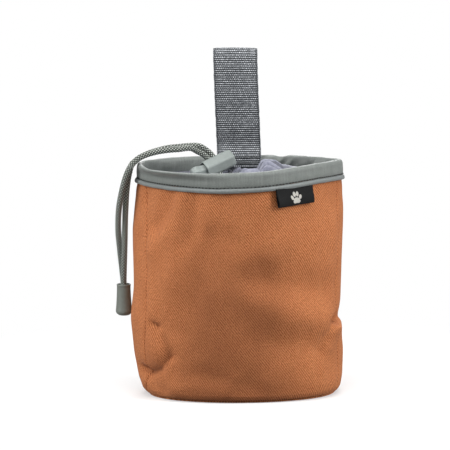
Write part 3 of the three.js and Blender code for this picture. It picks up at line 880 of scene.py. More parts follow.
def front_folds(x, z):
    out = np.zeros_like(x)
    for line, width, height in FRONT_FOLDS:
        # narrow folds have a sharper crest, wide ones are a quarter stronger
        power = 2 if width > 3 else 1.5
        crest = np.exp(-((to_line(x, z, line) / width) ** power))
        out += height * (1.25 if width >= 4 else 1.0) * crest
    puff = ((x - PUFF_AT[0]) / PUFF_WIDE) ** 2 + ((z - PUFF_AT[1]) / PUFF_HIGH) ** 2
    return out + PUFF_OUT * np.exp(-puff)


def fold_shade(x, z):
    # painted shade along the pinches of the front
    return sum(dark * gauss(to_line(x, z, line), width) for line, width, dark in FRONT_PINCH_SHADE)


# the sewn rim rides up a little at the right front: x and height
RAISE_X = [-70, -12, -2, 8, 15, 25, 35, 43, 48, 53, 58]
RAISE_Z = [0, 0, 0.25, 0.55, 0.9, 1.4, 1.75, 1.9, 1.75, 1.4, 1.0]


def rim_raise(phi):
    return np.interp(np.cos(phi) * 58.4, RAISE_X, RAISE_Z) * ramp(0.5, -0.1, np.sin(phi))


def seam_phi(side, z):
    """Angle of the side seam at each height. It hangs plumb, a little inside the outline."""
    left, right, _, _ = plan(z)
    x = np.maximum(-54.5, -0.95 * left) if side < 0 else np.minimum(55.8, 0.955 * right)
    return phi_of_x(x, z)


def bag_offset(phi, z):
    """How far the cloth stands off the plan, out being positive. Shared by wall and lining."""
    s = arc_of(phi)
    x, y = on_plan(phi, z)
    cos = np.cos(phi)
    # soft unevenness all round, calm at the rim, at the base seam and along the outline
    calm = ramp(128, 112, z) * ramp(0.5, 10, z) * (1 - 0.8 * ramp(0.90, 0.98, np.abs(cos)))
    ring_x, ring_y = (1.9 * turn(s / GIRTH * TAU) for turn in (np.cos, np.sin))
    out = 0.75 * fbm(ring_x * 1.3, ring_y * 1.3, z / 38.0, seed=3, octaves=3) * calm
    out += 0.28 * fbm(ring_x * 4.1, ring_y * 4.1, z / 13.0, seed=11, octaves=2) * calm
    out += front_folds(x, z) * ramp(-2, -16, y) * ramp(127, 118, z) * ramp(-1.0, 3.0, z)
    for start, end, width, height in BACK_FOLDS:
        out += height * gauss(seg(x, z, start, end)[0], width) * ramp(6, 18, y)
    # side seams draw in a little and pucker
    for side in (-1, 1):
        from_seam = np.abs(np.mod(phi - seam_phi(side, z) + PI, TAU) - PI) * 52.0
        pucker = 0.55 + 0.3 * vnoise(z / 4.2, side * 7.0, 0, 31)
        pucker = pucker + 0.12 * vnoise(z / 1.9, side * 3.0, 0, 37)
        out -= 0.5 * pucker * gauss(from_seam, 2.4) * ramp(0.5, 6, z) * ramp(128, 122, z)
    # gathers where the cloth runs under the piping
    out += 0.30 * vnoise(s / 3.4, 0, 0, 41) * gauss(z - 119.5, 3.4)
    # the outline of the sides: full low on the left, drawn in at the notch on the right
    out += ramp(0.86, 0.97, -cos) * ramp(3.0, -3.0, y) * 0.9 * gauss(z - 44, 14.0)
    above = z - 43.2
    notch = 1.5 * np.exp(-((above / np.where(above > 0, 6.5, 1.9)) ** 2))
    out -= ramp(0.86, 0.97, cos) * (notch - 0.5 * gauss(z - 37.5, 4.0))
    return out


# ------------------------------------------------------------------ bag panels
WALL_INSET = 0.72  # from the outer to the inner face of the cloth
WALL_FOOT, WALL_TOP = 0.9, 128.6
WALL_ROWS = 200


def panel(name, is_front, columns, node):
    rows = np.linspace(WALL_FOOT, WALL_TOP, WALL_ROWS)
    # closer rows where the wall turns in at the base
    rise = rows - WALL_FOOT
    rows = WALL_FOOT + rise * (1 - 0.35 * np.exp(-rise / 14.0))
    left, right = seam_phi(-1, rows), seam_phi(1, rows)
    start, end = (left, right) if is_front else (right, left + TAU)
    # even steps by arc length at each height
    s_start, s_end = arc_of(start), arc_of(end) + (0 if is_front else GIRTH)
    s = s_start + (s_end - s_start) * np.linspace(0, 1, columns)[:, None]
    phi = np.where(s > GIRTH, phi_at(s - GIRTH) + TAU, phi_at(s))
    phi[0], phi[-1] = start, end
    z = np.broadcast_to(rows, phi.shape)
    s = arc_of(phi) + GIRTH * (phi > PI)
    # the two long edges turn in at the side seam, the lower edge under at the base seam
    from_edge = np.minimum(s - s[:1], s[-1:] - s)
    side_roll = np.clip(1 - from_edge / 1.3, 0, 1)
    foot_roll = np.clip(1 - (z - WALL_FOOT) / 1.6, 0, 1)
    off = bag_offset(phi, z)
    for roll, depth in ((side_roll, 0.55), (foot_roll, 1.3)):
        off = off - depth * (1 - np.sqrt(np.clip(1 - roll**2, 0, 1)))
    x, y = on_plan(phi, z)
    # painted shade in the pinches and along the turned-in edges at the side seams
    shade = fold_shade(x, z) * ramp(-2, -16, y) + 0.07 * gauss(from_edge, 0.5)
    # painted shade under the piping, and on the middle of the front towards the base
    shade = shade + 0.25 * gauss(z - rim_raise(phi) - 121.8, 1.4)
    middle = 1 - 0.92 * ramp(14, 46, np.abs(x + 5.0))
    shade = shade + 0.56 * ramp(120, 56, z) * ramp(-6, -30, y) * middle
    outer, inner = place(phi, z, off), place(phi, z, off - WALL_INSET)
    obj = sheet(name, outer, inner, weave_grid(s, z), {"shade": shade})
    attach(dress(obj, TWILL, "outer_cloth", node), "pouch")


panel("bag_front", True, 420, "front_panel")
panel("bag_back", False, 330, "back_panel")


def disc(name, z, off, thick, dome, rings, around):
    """A flat oval following the foot of the plan, domed up by dome in the middle."""
    phi = np.linspace(-PI, PI, around, endpoint=False)
    share = np.linspace(0, 1, rings)
    x, y = (v[:, None] * share for v in on_plan(phi, np.full(around, 0.6), off))
    uneven = 0.6 + 0.4 * fbm(x / 17.0, y / 17.0, 0, seed=5, octaves=3)
    edge = np.clip((share - 0.9) / 0.1, 0, 1)
    top = z + dome * uneven * (1 - edge**2) * np.minimum(1, (1 - share) * 9)
    upper = np.stack([x, y, top], -1)
    points = np.stack([upper, upper - (0, 0, thick)])
    faces = grid_faces(around, rings, True, False)
    count = around * rings
    rim = np.arange(around) * rings + rings - 1
    next_rim = np.roll(rim, -1)
    side = np.stack([rim, rim + count, next_rim + count, next_rim], 1)
    quads = np.concatenate([faces, faces[:, ::-1] + count, side])
    flat = weave_grid(x, y)
    attrs = {"weave": np.stack([flat, flat]), "shade": np.zeros(2 * count)}
    obj = make_mesh(name, points, quads, attrs=attrs)
    # weld the centre
    with editing(obj) as bm:
        bmesh.ops.remove_doubles(bm, verts=bm.verts, dist=1e-6)
        bmesh.ops.dissolve_degenerate(bm, dist=1e-7, edges=bm.edges)
        bmesh.ops.recalc_face_normals(bm, faces=bm.faces)
    return obj


base = disc("bag_base", z=0.75, off=-1.35, thick=0.75, dome=0.0, rings=46, around=240)
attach(dress(base, TWILL, "outer_cloth", "base_panel"), "pouch")
floor_cloth = disc(
    "lining_base_cloth", z=1.9, off=-2.9, thick=0.4, dome=0.6, rings=24, around=160
)
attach(dress(floor_cloth, LINING, "lining_cloth", "lining_base"), "pouch")


def lining_wall():
    """Follows the folds of the wall, drawn in further at its foot."""
    phi, z = np.meshgrid(
        np.linspace(-PI, PI, 200, endpoint=False), np.linspace(2.1, WALL_TOP, 70), indexing="ij"
    )
    off = bag_offset(phi, z) - 1.2 * ramp(8, 0, z)
    outer, inner = place(phi, z, off - 1.6), place(phi, z, off - 2.0)
    weave = weave_grid(arc_of(phi), z)
    obj = sheet("lining_wall_cloth", outer, inner, weave, {"shade": 0 * z}, ring=True)
    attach(dress(obj, LINING, "lining_cloth", "lining_wall"), "pouch")


lining_wall()


# ------------------------------------------------------------------ rim
STITCH_WAVE = 2.4  # spacing of the puckers that stitches pull into the tape


def rim_dz(phi):
    """The rim isn't quite level: it dips a little at the left front."""
    dip = ramp(0.35, 0.95, -np.cos(phi)) * ramp(0.1, -0.5, np.sin(phi))
    return -0.9 * dip + 0.35 * vnoise(arc_of(phi) / 21.0, 0, 0, 71)


def rim_ring(profile, count, shape=None):
    """Carry a closed profile of (offset, z) round the rim. Returns points, weave and angles."""
    profile = np.asarray(profile, float)
    around = lengths(np.r_[profile, profile[:1]])[:-1]
    s = np.linspace(0, GIRTH, count, endpoint=False)[:, None]
    phi, off, z = np.broadcast_arrays(phi_at(s), profile[:, 0], profile[:, 1])
    if shape is not None:
        off, z = shape(phi, off, z, s)
    x, y = on_plan(phi, np.clip(z, 0, 139), off)
    z = z + rim_dz(phi) * ramp(116, 128, z) + rim_raise(phi)
    return np.stack([x, y, z], -1), weave_grid(s, around), phi


BAND_OUT, BAND_IN = 0.9, -2.7  # offsets of the tape's outer and inner face
# the tape folded over the rim: offset and height, up the outside, down inside and back up
BAND_PROFILE = [
    (BAND_OUT - 0.25, 125.15), (BAND_OUT + 0.1, 126.1), (BAND_OUT + 0.25, 127.6),
    (BAND_OUT + 0.18, 130.2), (BAND_OUT, 132.4), (0.25, 133.6), (-0.85, 134.05),
    (-1.95, 133.6), (BAND_IN + 0.05, 132.4), (BAND_IN - 0.15, 129.6),
    (BAND_IN + 0.02, 126.4), (BAND_IN + 0.15, 125.3), (BAND_IN + 0.65, 125.3),
    (BAND_IN + 0.7, 128.5), (BAND_IN + 0.75, 132.0), (-0.9, 133.2), (0.1, 132.2),
    (0.32, 128.5), (0.3, 125.4),
]


def band_crease(s, z):
    """Slanting creases of the inner face, -1 in the hollows to 1 on the ridges."""
    large = vnoise(s / 3.7 + z / 5.5, z / 14.0, 0, 87)
    return np.tanh(1.5 * large + 0.4 * vnoise(s / 1.9 - z / 7.0, z / 5.0, 0, 88))


def band_shape(phi, off, z, s):
    outer, inner = ramp(-0.2, 0.8, off), ramp(-1.8, -2.6, off)
    middle = gauss(z - 129.5, 3.2)
    wave = 0.22 * vnoise(s / 9.0, 0, 0, 81) + 0.10 * vnoise(s / 3.1, z / 3.0, 0, 83)
    off = off + outer * middle * wave
    # the inner face lies in soft creases, most of all at the back right
    back, right = ramp(0.2, 0.7, np.sin(phi)), ramp(0.1, 0.5, np.cos(phi))
    crease = (0.30 + 1.15 * right) * back * ramp(-1.0, 0.9, band_crease(s, z))
    off = off - inner * middle * (0.30 * vnoise(s / 7.0, 0, 0, 85) + crease)
    # stitches pull the lower edge in
    pull = 0.5 + 0.5 * np.cos(TAU * s / STITCH_WAVE)
    off = off - outer * 0.10 * pull * gauss(z - 126.0, 0.7)
    wavy = 0.12 + 0.5 * back * (0.25 + 0.75 * right)
    return off, z + wavy * vnoise(s / 6.3, 0, 0, 89) * ramp(130.5, 134, z)


def band_recess(phi, points):
    """The hollows between the creases of the inner face lie in shadow."""
    x, y, z = np.moveaxis(points, -1, 0)
    rim_x, rim_y = on_plan(phi, np.full(phi.shape, 130.0))
    inner = ramp(-1.6, -2.3, (x - rim_x) * np.cos(phi) + (y - rim_y) * np.sin(phi))
    back, right = ramp(0.1, 0.6, np.sin(phi)), ramp(0.1, 0.5, np.cos(phi))
    hollow = ramp(0.55, -0.75, band_crease(arc_of(phi), z))
    dark = 0.62 * right + (0.15 + 0.85 * right) * hollow
    return np.clip(inner * back * dark * gauss(z - 129.4, 4.6), 0, 1)


def rim_binding():
    profile = spline(BAND_PROFILE, 61, closed=True)[0][:-1]
    points, weave, phi = rim_ring(profile, 900, band_shape)
    z = points[..., 2]
    # painted shade along the lower edge, and in the hollows of the inner face
    shade = np.maximum(0.12 * ramp(126.2, 125.2, z), band_recess(phi, points))
    # painted highlight along the crown of the top fold
    crown = ramp(133.6, 134.1, z - rim_raise(phi) - rim_dz(phi))
    painted_highlight = np.clip(crown * (0.75 + 0.35 * vnoise(arc_of(phi) / 2.3, 0, 0, 77)), 0, 1)
    attrs = {"shade": shade, "painted_highlight": painted_highlight}
    obj = loft("rim_binding_tape", points, weave, ring=True, attrs=attrs)
    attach(dress(obj, BINDING, "binding_tape", "rim_binding"), "pouch")


rim_binding()

# section of the strip inside the binding: offset and height
STRIP_PROFILE = [
    (-0.35, 129.4), (-0.3, 131), (-0.35, 132.0), (-0.8, 132.2),
    (-1.25, 132.0), (-1.3, 131), (-1.25, 129.4), (-0.8, 129.3),
]
strip_points, strip_weave, _ = rim_ring(STRIP_PROFILE, 360)
strip = loft("rim_strip", strip_points, strip_weave, ring=True)
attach(dress(strip, HOOP, "hoop_plastic", "rim_stiffener"), "pouch")

# piping: an oval roll under the binding, with faint puckers at each stitch
PIPE_Z, PIPE_OFF = 123.7, 0.85
PIPE_HALF_THICK, PIPE_HALF_HIGH = 1.1, 1.4


def pipe_shape(phi, off, z, s):
    turn = np.arctan2((z - PIPE_Z) / PIPE_HALF_HIGH, (off - PIPE_OFF) / PIPE_HALF_THICK)
    pucker = 0.03 * np.cos(TAU * s / STITCH_WAVE) * ramp(0.2, 1.0, np.sin(turn))
    swell = 1 + 0.045 * vnoise(s / 4.4, 0, 0, 91) + pucker + 0.02 * np.sin(3 * turn + s / 1.7)
    z = PIPE_Z + (z - PIPE_Z) * swell + 0.16 * vnoise(s / 15.0, 0, 0, 93)
    return PIPE_OFF + (off - PIPE_OFF) * swell, z


def rim_piping():
    turn = np.linspace(0, TAU, 22, endpoint=False)
    off = PIPE_OFF + PIPE_HALF_THICK * np.cos(turn)
    profile = np.stack([off, PIPE_Z + PIPE_HALF_HIGH * np.sin(turn)], 1)
    points, weave, phi = rim_ring(profile, 1200, pipe_shape)
    # painted shade along the top of the roll, in the ditch under the binding
    shade = 0.6 * ramp(124.6, 125.3, points[..., 2] - rim_raise(phi) - 0.7 * rim_dz(phi))
    obj = loft("rim_piping_roll", points, weave, ring=True, attrs={"shade": shade})
    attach(dress(obj, PIPING, "binding_tape", "rim_piping"), "pouch")


rim_piping()


def rim_topstitch():
    """Separate stitches along the lower edge of the binding."""
    pitch, length, radius, sides, steps = 2.2, 1.4, 0.3, 8, 9
    phi = phi_at(np.linspace(0, GIRTH, 1600))
    height = np.full_like(phi, 125.6)
    x, y = on_plan(phi, height, 0.98)
    z = 125.65 + rim_dz(phi) * float(ramp(116, 128, 125.7)) + rim_raise(phi)
    path = np.stack([x, y, z], 1)
    out_x, out_y = outward(phi, height)
    outs = np.stack([out_x, out_y, 0 * x], 1)
    dist = lengths(path)
    turn = np.linspace(0, TAU, sides, endpoint=False)
    share = np.linspace(0, 1, steps)
    # each stitch arches out of the tape, its ends sunk in and narrowed
    lift = np.sin(PI * share) ** 0.6 * radius * 1.1 - 0.35 * radius
    thick = radius * np.clip(np.sin(PI * np.clip(share, 0.04, 0.96)) ** 0.35, 0.2, 1)
    points, quads, weave, caps = [], [], [], []
    for i in range(int(dist[-1] // pitch)):
        where = (i + 0.5) * pitch - length / 2 + share * length
        out = unit(resample(outs, dist, where))
        centre = resample(path, dist, where) + out * lift[:, None]
        along = unit(np.gradient(centre, axis=0))
        side = unit(np.cross(along, out))
        points.append(tube(centre, np.cross(side, along), side, thick[:, None], turn))
        first = i * steps * sides
        quads.append(grid_faces(steps, sides, False, True, first))
        weave.append(weave_grid(where[:, None], turn * radius))
        caps.append(first + np.arange(sides))
        caps.append((first + (steps - 1) * sides + np.arange(sides))[::-1])
    obj = make_mesh(
        "rim_topstitches",
        np.concatenate(points),
        np.concatenate(quads),
        caps,
        {"weave": np.concatenate(weave)},
    )
    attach(dress(obj, DARK_THREAD, "thread", "rim_topstitch"), "pouch")


rim_topstitch()


# ------------------------------------------------------------------ belt loop
WEAVE_ROW, WEAVE_COLUMN = 1.26, 1.12
BELT_WIDTH, BELT_THICK, BELT_RELIEF, BELT_EDGE = 25.0, 1.55, 0.3, 0.36
BELT_X = -0.3
BELT_Y, BELT_Z, BELT_TOP = 28.3, 136.6, 197.0
# centre line (y, z): up from inside the rim, over the top and down the back
BELT_LINE = [
    (25.15, 127.3), (25.15, 130.0), (25.15, 133.0), (25.6, 135.6), (26.7, 138.2),
    (27.0, 141.0), (26.2, 145.2), (BELT_Y - 3.2, BELT_Z + 13), (BELT_Y - 4.4, BELT_Z + 26),
    (BELT_Y - 4.6, BELT_Z + 40), (BELT_Y - 3.8, BELT_Z + 52), (BELT_Y - 2.1, BELT_Z + 57.8),
    (BELT_Y + 0.9, BELT_TOP - 0.75), (BELT_Y + 4.1, BELT_Z + 57.6),
    (BELT_Y + 5.7, BELT_Z + 51), (BELT_Y + 6.1, BELT_Z + 39), (BELT_Y + 5.2, BELT_Z + 26),
    (BELT_Y + 3.4, BELT_Z + 13), (BELT_Y + 2.3, 144.6), (30.2, 139.6), (31.0, 136.4),
    (31.3, 133.4), (31.35, 129.4), (32.05, 126.8), (32.6, 124.0), (32.2, 121.2),
    (31.6, 117.5), (31.45, 113.0), (31.45, 110.0),
]


def web_relief(x, y):
    """Height 0..1 of the ribbed weave; x across, y along."""
    row = np.floor(y / WEAVE_ROW)
    in_row = y / WEAVE_ROW - row
    across = x / WEAVE_COLUMN + 0.5 * np.mod(row, 2)
    column = np.floor(across)
    rise = np.sin(PI * np.clip(in_row * 1.5, 0, 1))
    dot = np.sin(PI * (across - column)) ** 0.8 * rise**0.7
    jitter = 0.82 + 0.20 * lattice(row.astype(np.int64), column.astype(np.int64), 0, 5)
    return np.clip(0.80 * dot * jitter + 0.30 * rise**0.6 * 0.7, 0, 1)


def back_bow(x):
    """How far the curved back falls away from its middle."""
    return 30 * (1 - np.sqrt(1 - np.clip(x / 59.0, -0.9, 0.9) ** 2))


def belt_strip():
    half_width = BELT_WIDTH / 2
    line, s = spline(BELT_LINE, 640)
    along = unit(np.gradient(line, axis=0))
    # section: one face, rounded edge, other face, rounded edge
    xs = np.linspace(-half_width, half_width, int(BELT_WIDTH / 0.28))
    turn = np.linspace(PI / 2, -PI / 2, 7)[1:-1]
    edge = half_width + BELT_EDGE * np.cos(turn)
    ones, zeros = np.ones(len(xs)), np.zeros(len(turn))
    section_x = np.r_[xs, edge, xs[::-1], -edge]
    section_out = np.r_[ones, np.sin(turn), -ones, -np.sin(turn)]
    is_face = np.r_[ones, zeros, ones, zeros]
    length, across = np.broadcast_arrays(s[:, None], section_x)
    relief = web_relief(across + 100, length + 200)
    # 0 at the selvedges, which are a little thinner and wander
    inside = ramp(half_width - 0.2, half_width - 1.4, np.abs(across))
    edge_relief = 0.35 + 0.35 * np.cos(TAU * length / (WEAVE_ROW * 2)) ** 2
    relief = relief * (0.55 + 0.45 * inside) * is_face + (1 - is_face) * edge_relief
    out = section_out * (BELT_THICK / 2 - BELT_RELIEF * 0.6 + BELT_RELIEF * relief)
    out = out * (0.82 + 0.18 * inside)
    wander = 0.12 * vnoise(length / 2.1, np.sign(across) * 3.0, 0, 55)
    across = across + wander * (1 - inside)
    x = BELT_X + across
    y = line[:, :1] - along[:, 1:] * out
    z = line[:, 1:] + along[:, :1] * out
    y = y - np.where(z > BELT_Z, np.maximum(0, 1 - (z - BELT_Z) / 30.0), 1.0) * back_bow(x)
    # it leans to the left, and curls and waves a little
    up = np.clip((z - BELT_Z) / 60.0, 0, 1)
    x = x - 1.6 * up - 0.45 * np.sin(up * 2.6 + 0.4) * up
    y = y + across * 0.028 * up + 0.3 * np.sin(across / 8.6) * up
    y = y + 0.35 * vnoise(across / 9.0, z / 14.0, 0, 61) * up
    crown = (0.35 * np.cos(across / 10.4) - 0.3) * gauss(z - BELT_TOP, 6.0)
    z = z - 0.02 * across * up + crown
    weave = weave_grid(across, length)
    obj = loft("belt_webbing", np.stack([x, y, z], -1), weave, attrs={"relief": relief})
    nodes = ("belt_loop", "belt_loop_inner_end", "belt_loop_outer_end")
    dress(obj, WEBBING, "webbing", *nodes)
    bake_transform(obj, "pouch", "belt_loop", start=(0, 0.028, 0.130), end=(0, 0.028, 0.143))
    set_blend(obj, ramp(132.6, 142.5, z))


belt_strip()

# tacks through the webbing: name, y, z, height, direction of y it stands out in,
# spacing of its runs, CAD node
TACKS = [
    ("tack_inner", 24.2, 128.9, 2.3, -1, 0.62, ["bar_tack_inner"]),
    ("tack_inner_upper", 24.2, 132.6, 1.4, -1, 0.8, []),
    ("tack_outer", 32.35, 112.0, 2.3, 1, 0.62, ["bar_tack_outer"]),
    ("tack_outer_upper", 32.25, 129.6, 1.6, 1, 0.8, []),
]


def bartack(name, y, z, height, out, pitch, nodes):
    """Close zigzag of thread, its straight runs lifted in the middle."""
    radius, half_width = 0.2, 11.2
    x_from, x_to = BELT_X - half_width, BELT_X + half_width
    count = int((x_to - x_from) / pitch)
    i = np.arange(count + 1)
    x = x_from + (x_to - x_from) * i / count
    turns = np.stack([x, y - back_bow(x), z + height * (i % 2)], 1)
    share = np.linspace(0, 1, 7, endpoint=False)
    path = turns[:-1, None] + np.diff(turns, axis=0)[:, None] * share[:, None]
    path[..., 1] += out * np.sin(PI * share) * 0.16
    path = np.r_[path.reshape(-1, 3), turns[-1:]]
    turn = np.linspace(0, TAU, 7, endpoint=False)
    points = tube(path, *tube_frames(path), radius, turn)
    obj = loft(name, points, weave_grid(lengths(path)[:, None], turn * radius))
    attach(dress(obj, TACK_THREAD, "thread", *nodes), "pouch")


for tack in TACKS:
    bartack(*tack)


# ------------------------------------------------------------------ place of the cord lock
BARREL_LENGTH = 19.0
BARREL_MID = np.array([-11.4, 2.475, 132.29])
LOCK_AXIS = unit(np.array([0.863, 0.45, 0.23]))  # from the mouth to the closed end
_cord_way = np.array([-0.35, 0.2, 0.915])
LOCK_CORD = unit(_cord_way - LOCK_AXIS * (LOCK_AXIS @ _cord_way))  # the way the cord runs
LOCK_OUT = np.cross(LOCK_AXIS, LOCK_CORD)  # square to both
LOCK_SHIFT = np.array([-0.9, 0.0, 0.15])
LOCK_TIP = math.radians(6.5)
STRANDS_AT = (4.6, 7.9)  # the two cord strands, from the mouth along the barrel
ARC_R = 16.0
ARC_MID = BARREL_MID + LOCK_AXIS * (sum(STRANDS_AT) / 2 - ARC_R - BARREL_LENGTH / 2)


def lock_to_world(p):
    """Points along the barrel from its mouth, along the cord, and square to both.
    The lock sits a little loose on its cord, its closed end tipped up."""
    q = (p[..., :1] - BARREL_LENGTH / 2) * LOCK_AXIS
    q = q + p[..., 1:2] * LOCK_CORD + p[..., 2:] * LOCK_OUT
    x, y, z = np.moveaxis(q, -1, 0)
    cos, sin = math.cos(LOCK_TIP), math.sin(LOCK_TIP)
    return BARREL_MID + LOCK_SHIFT + np.stack([x * cos - z * sin, y, x * sin + z * cos], -1)


# ------------------------------------------------------------------ cord
CORD_R, CORD_RELIEF = 1.62, 0.32
CROWN = np.array([-4.0, -4.0, 119.0])  # centre of the ring the cord makes in the hem
CROWN_R = 10.0


def arcs(radius, degrees, out=0.0):
    """Points of the bend through the lock."""
    for deg in degrees:
        t = math.radians(deg)
        bend = LOCK_AXIS * radius * math.cos(t) + LOCK_CORD * radius * math.sin(t)
        yield ARC_MID + bend + LOCK_OUT * out


def on_crown(degrees):
    for deg in degrees:
        t = math.radians(deg)
        yield CROWN + np.array([CROWN_R * math.cos(t), CROWN_R * math.sin(t), 0])


HALF_GAP = (STRANDS_AT[1] - STRANDS_AT[0]) / 2
# from the left rim through the lock, round the hem, and back through the lock to the rim
CORD_LINE = [
    (-63.0, -6.2, 132.3), (-62.1, -6.3, 133.7), (-60.6, -6.5, 135.3), (-57.9, -6.8, 137.6),
    (-53.9, -7.1, 139.5), (-47.6, -7.4, 141.2), (-41.0, -7.2, 142.2), (-35.0, -6.0, 142.4),
    *arcs(15.0, [71], 1.6),
    *arcs(ARC_R - HALF_GAP, (52, 40, 28, 16, 4, -8, -20)),
    (-14.1, -2.4, 122.6), (-14.3, -4.6, 119.6),
    *on_crown((*range(195, 471, 25), 488)),
    (-12.1, 2.5, 119.5), (-11.9, 1.2, 122.6),
    *arcs(ARC_R + HALF_GAP, (-18, -8, 4, 16, 28, 40, 52)),
    *arcs(17.1, [68], -1.4),
    (-35.0, -2.4, 143.3), (-41.0, -3.6, 142.9), (-47.6, -3.7, 141.4), (-53.9, -3.4, 139.2),
    (-57.9, -3.0, 137.1), (-60.6, -2.8, 135.0), (-62.1, -2.7, 133.5), (-62.8, -2.6, 132.2),
]
# the tails hang from the left rim into the bell; each starts inside the cord's last
# millimetres, so that the three read as one
TAIL_FRONT = [
    (-61.3, -6.2, 134.6), (-62.6, -6.1, 132.9), (-63.75, -6.1, 131.1), (-65.7, -6.0, 126.6),
    (-67.9, -5.6, 119.0), (-70.0, -4.2, 107.5), (-70.6, -1.6, 95.5), (-69.9, 1.6, 83.5),
    (-68.9, 4.8, 72.0), (-68.1, 6.7, 62.5), (-68.0, 6.7, 54.3),
]
TAIL_REAR = [
    (-61.3, -2.6, 134.6), (-62.6, -2.5, 132.9), (-63.1, -2.5, 131.1), (-64.2, -2.4, 126.6),
    (-65.3, -2.2, 119.0), (-66.2, -1.9, 107.5), (-66.7, -1.2, 95.5), (-67.1, -0.6, 83.5),
    (-67.6, 1.3, 72.0), (-67.95, 3.3, 62.5), (-68.0, 3.3, 54.3),
]


def braid(s, turn, strands=6, pitch=10.6):
    """Relief 0..1 of a round braid. Strands run both ways and pass over and under."""
    a = strands * (turn / TAU + s / pitch)
    b = strands * (turn / TAU - s / pitch)
    wide_a, wide_b = np.sin(PI * (a - np.floor(a))), np.sin(PI * (b - np.floor(b)))
    # on top: round across its width, long over its float
    top_a = wide_a**0.7 * (0.55 + 0.45 * wide_b**0.6)
    top_b = wide_b**0.7 * (0.55 + 0.45 * wide_a**0.6)
    relief = np.where(np.mod(np.floor(a) + np.floor(b), 2) > 0, top_a, top_b)
    return np.clip(relief * np.minimum(1, 3.2 * np.minimum(wide_a, wide_b) + 0.15), 0, 1)


def cord(name, line, node, phase=0.0):
    length = spline(line, 50)[1][-1]
    path, s = spline(line, int(length * (4.0)))
    s = s[:, None]
    turn = np.linspace(0, TAU, 34, endpoint=False)
    relief = braid(s, turn + phase)
    uneven = 1 + 0.02 * vnoise(s / 5.0, 0, 0, 13)
    radius = (CORD_R - CORD_RELIEF * 0.45 + CORD_RELIEF * relief) * uneven
    points = tube(path, *tube_frames(path), radius, turn)
    obj = loft(name, points, weave_grid(s, turn * CORD_R), attrs={"relief": relief})
    return dress(obj, BRAID, "cord", node)


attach(cord("drawstring", CORD_LINE, "drawstring_cord"), "collar")
for name, line, phase, node in (
    ("tail_strand_front", TAIL_FRONT, 0.3, "cord_tail_front"),
    ("tail_strand_rear", TAIL_REAR, 1.1, "cord_tail_rear"),
):
    strand = cord(name, line, node, phase)
    start, end = (-0.0620, -0.004, 0.1340), (-0.0645, -0.004, 0.1285)
    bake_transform(strand, "collar", "tail", start=start, end=end)


# ------------------------------------------------------------------ cord lock
SLOT_HALF = 2.0
# along the barrel, scale of the section: the outside from the mouth to the closed end
BARREL_OUTSIDE = [
    (0.55, 0.80), (0.12, 0.86), (0.0, 0.905), (0.08, 0.955), (0.35, 0.985), (0.9, 1.0),
    *((s, 1.0 + 0.012 * math.sin(PI * s / BARREL_LENGTH)) for s in np.linspace(2, 16.6, 16)),
    (17.3, 0.997), (17.9, 0.98), (18.35, 0.95), (18.7, 0.905), (18.9, 0.85), (19.0, 0.78),
    (19.0, 0.5),
]
# then the inside, back to the mouth
BARREL_INSIDE = [
    (17.5, 0.45), (17.5, 0.72), (17.3, 0.735), (9.0, 0.74), (1.2, 0.745), (0.8, 0.77),
]
# a rounded thumb pad outside, a plain stem inside the barrel
BUTTON_STATIONS = [
    (-8.2, 0.25), (-8.16, 0.46), (-8.0, 0.66), (-7.65, 0.83), (-7.2, 0.95), (-6.6, 1.03),
    (-5.8, 1.07), (-5.0, 1.07), (-4.3, 1.05), (-3.8, 1.02), (-3.4, 1.0),
    *((s, 1.0) for s in np.linspace(-2.6, 11.6, 14)),
    (12.0, 0.98), (12.2, 0.93),
]


def lock_section():
    """Six flats with eased corners: a sharp ridge runs along the front and the back."""
    tall, wide, flat = 5.0, 5.2, 2.7
    corners = np.array(
        [[tall, flat], [0, wide], [-tall, flat], [-tall, -flat], [0, -wide], [tall, -flat]]
    )
    points = []
    for i in range(6):
        corner = corners[i]
        ease = 0.9 if i in (1, 4) else 1.25
        start = corner + unit(corners[i - 1] - corner) * ease
        end = corner + unit(corners[(i + 1) % 6] - corner) * ease
        for t in np.linspace(0, 1, 7):
            points.append((1 - t) ** 2 * start + 2 * t * (1 - t) * corner + t * t * end)
    points = np.array(points + [points[0]])
    dist = lengths(points)
    return resample(points, dist, np.linspace(0, dist[-1], 96, endpoint=False))


def at_stations(stations, section):
    return np.array([[[s, y * k, z * k] for y, z in section] for s, k in stations])


def cut_slot(obj, name, start, end):
    """Cut a round-ended slot for the cord right through, along the lock's cord direction."""
    ends = (
        (end - SLOT_HALF, np.linspace(-PI / 2, PI / 2, 20)),
        (start + SLOT_HALF, np.linspace(PI / 2, 3 * PI / 2, 20)),
    )
    outline = [
        (middle + SLOT_HALF * math.cos(t), SLOT_HALF * math.sin(t))
        for middle, turn in ends
        for t in turn
    ]
    points = np.array([[[s, y, z] for s, z in outline] for y in (-9.0, 9.0)])
    cutter = loft(name, lock_to_world(points))
    boolean = obj.modifiers.new("cut", "BOOLEAN")
    boolean.operation = "DIFFERENCE"
    boolean.solver = "EXACT"
    boolean.object = cutter
    for other in bpy.context.scene.objects:
        other.select_set(other == obj)
    bpy.context.view_layer.objects.active = obj
    bpy.ops.object.modifier_apply(modifier=boolean.name)
    bpy.data.objects.remove(cutter)
    shade_by_angle(obj, 30)


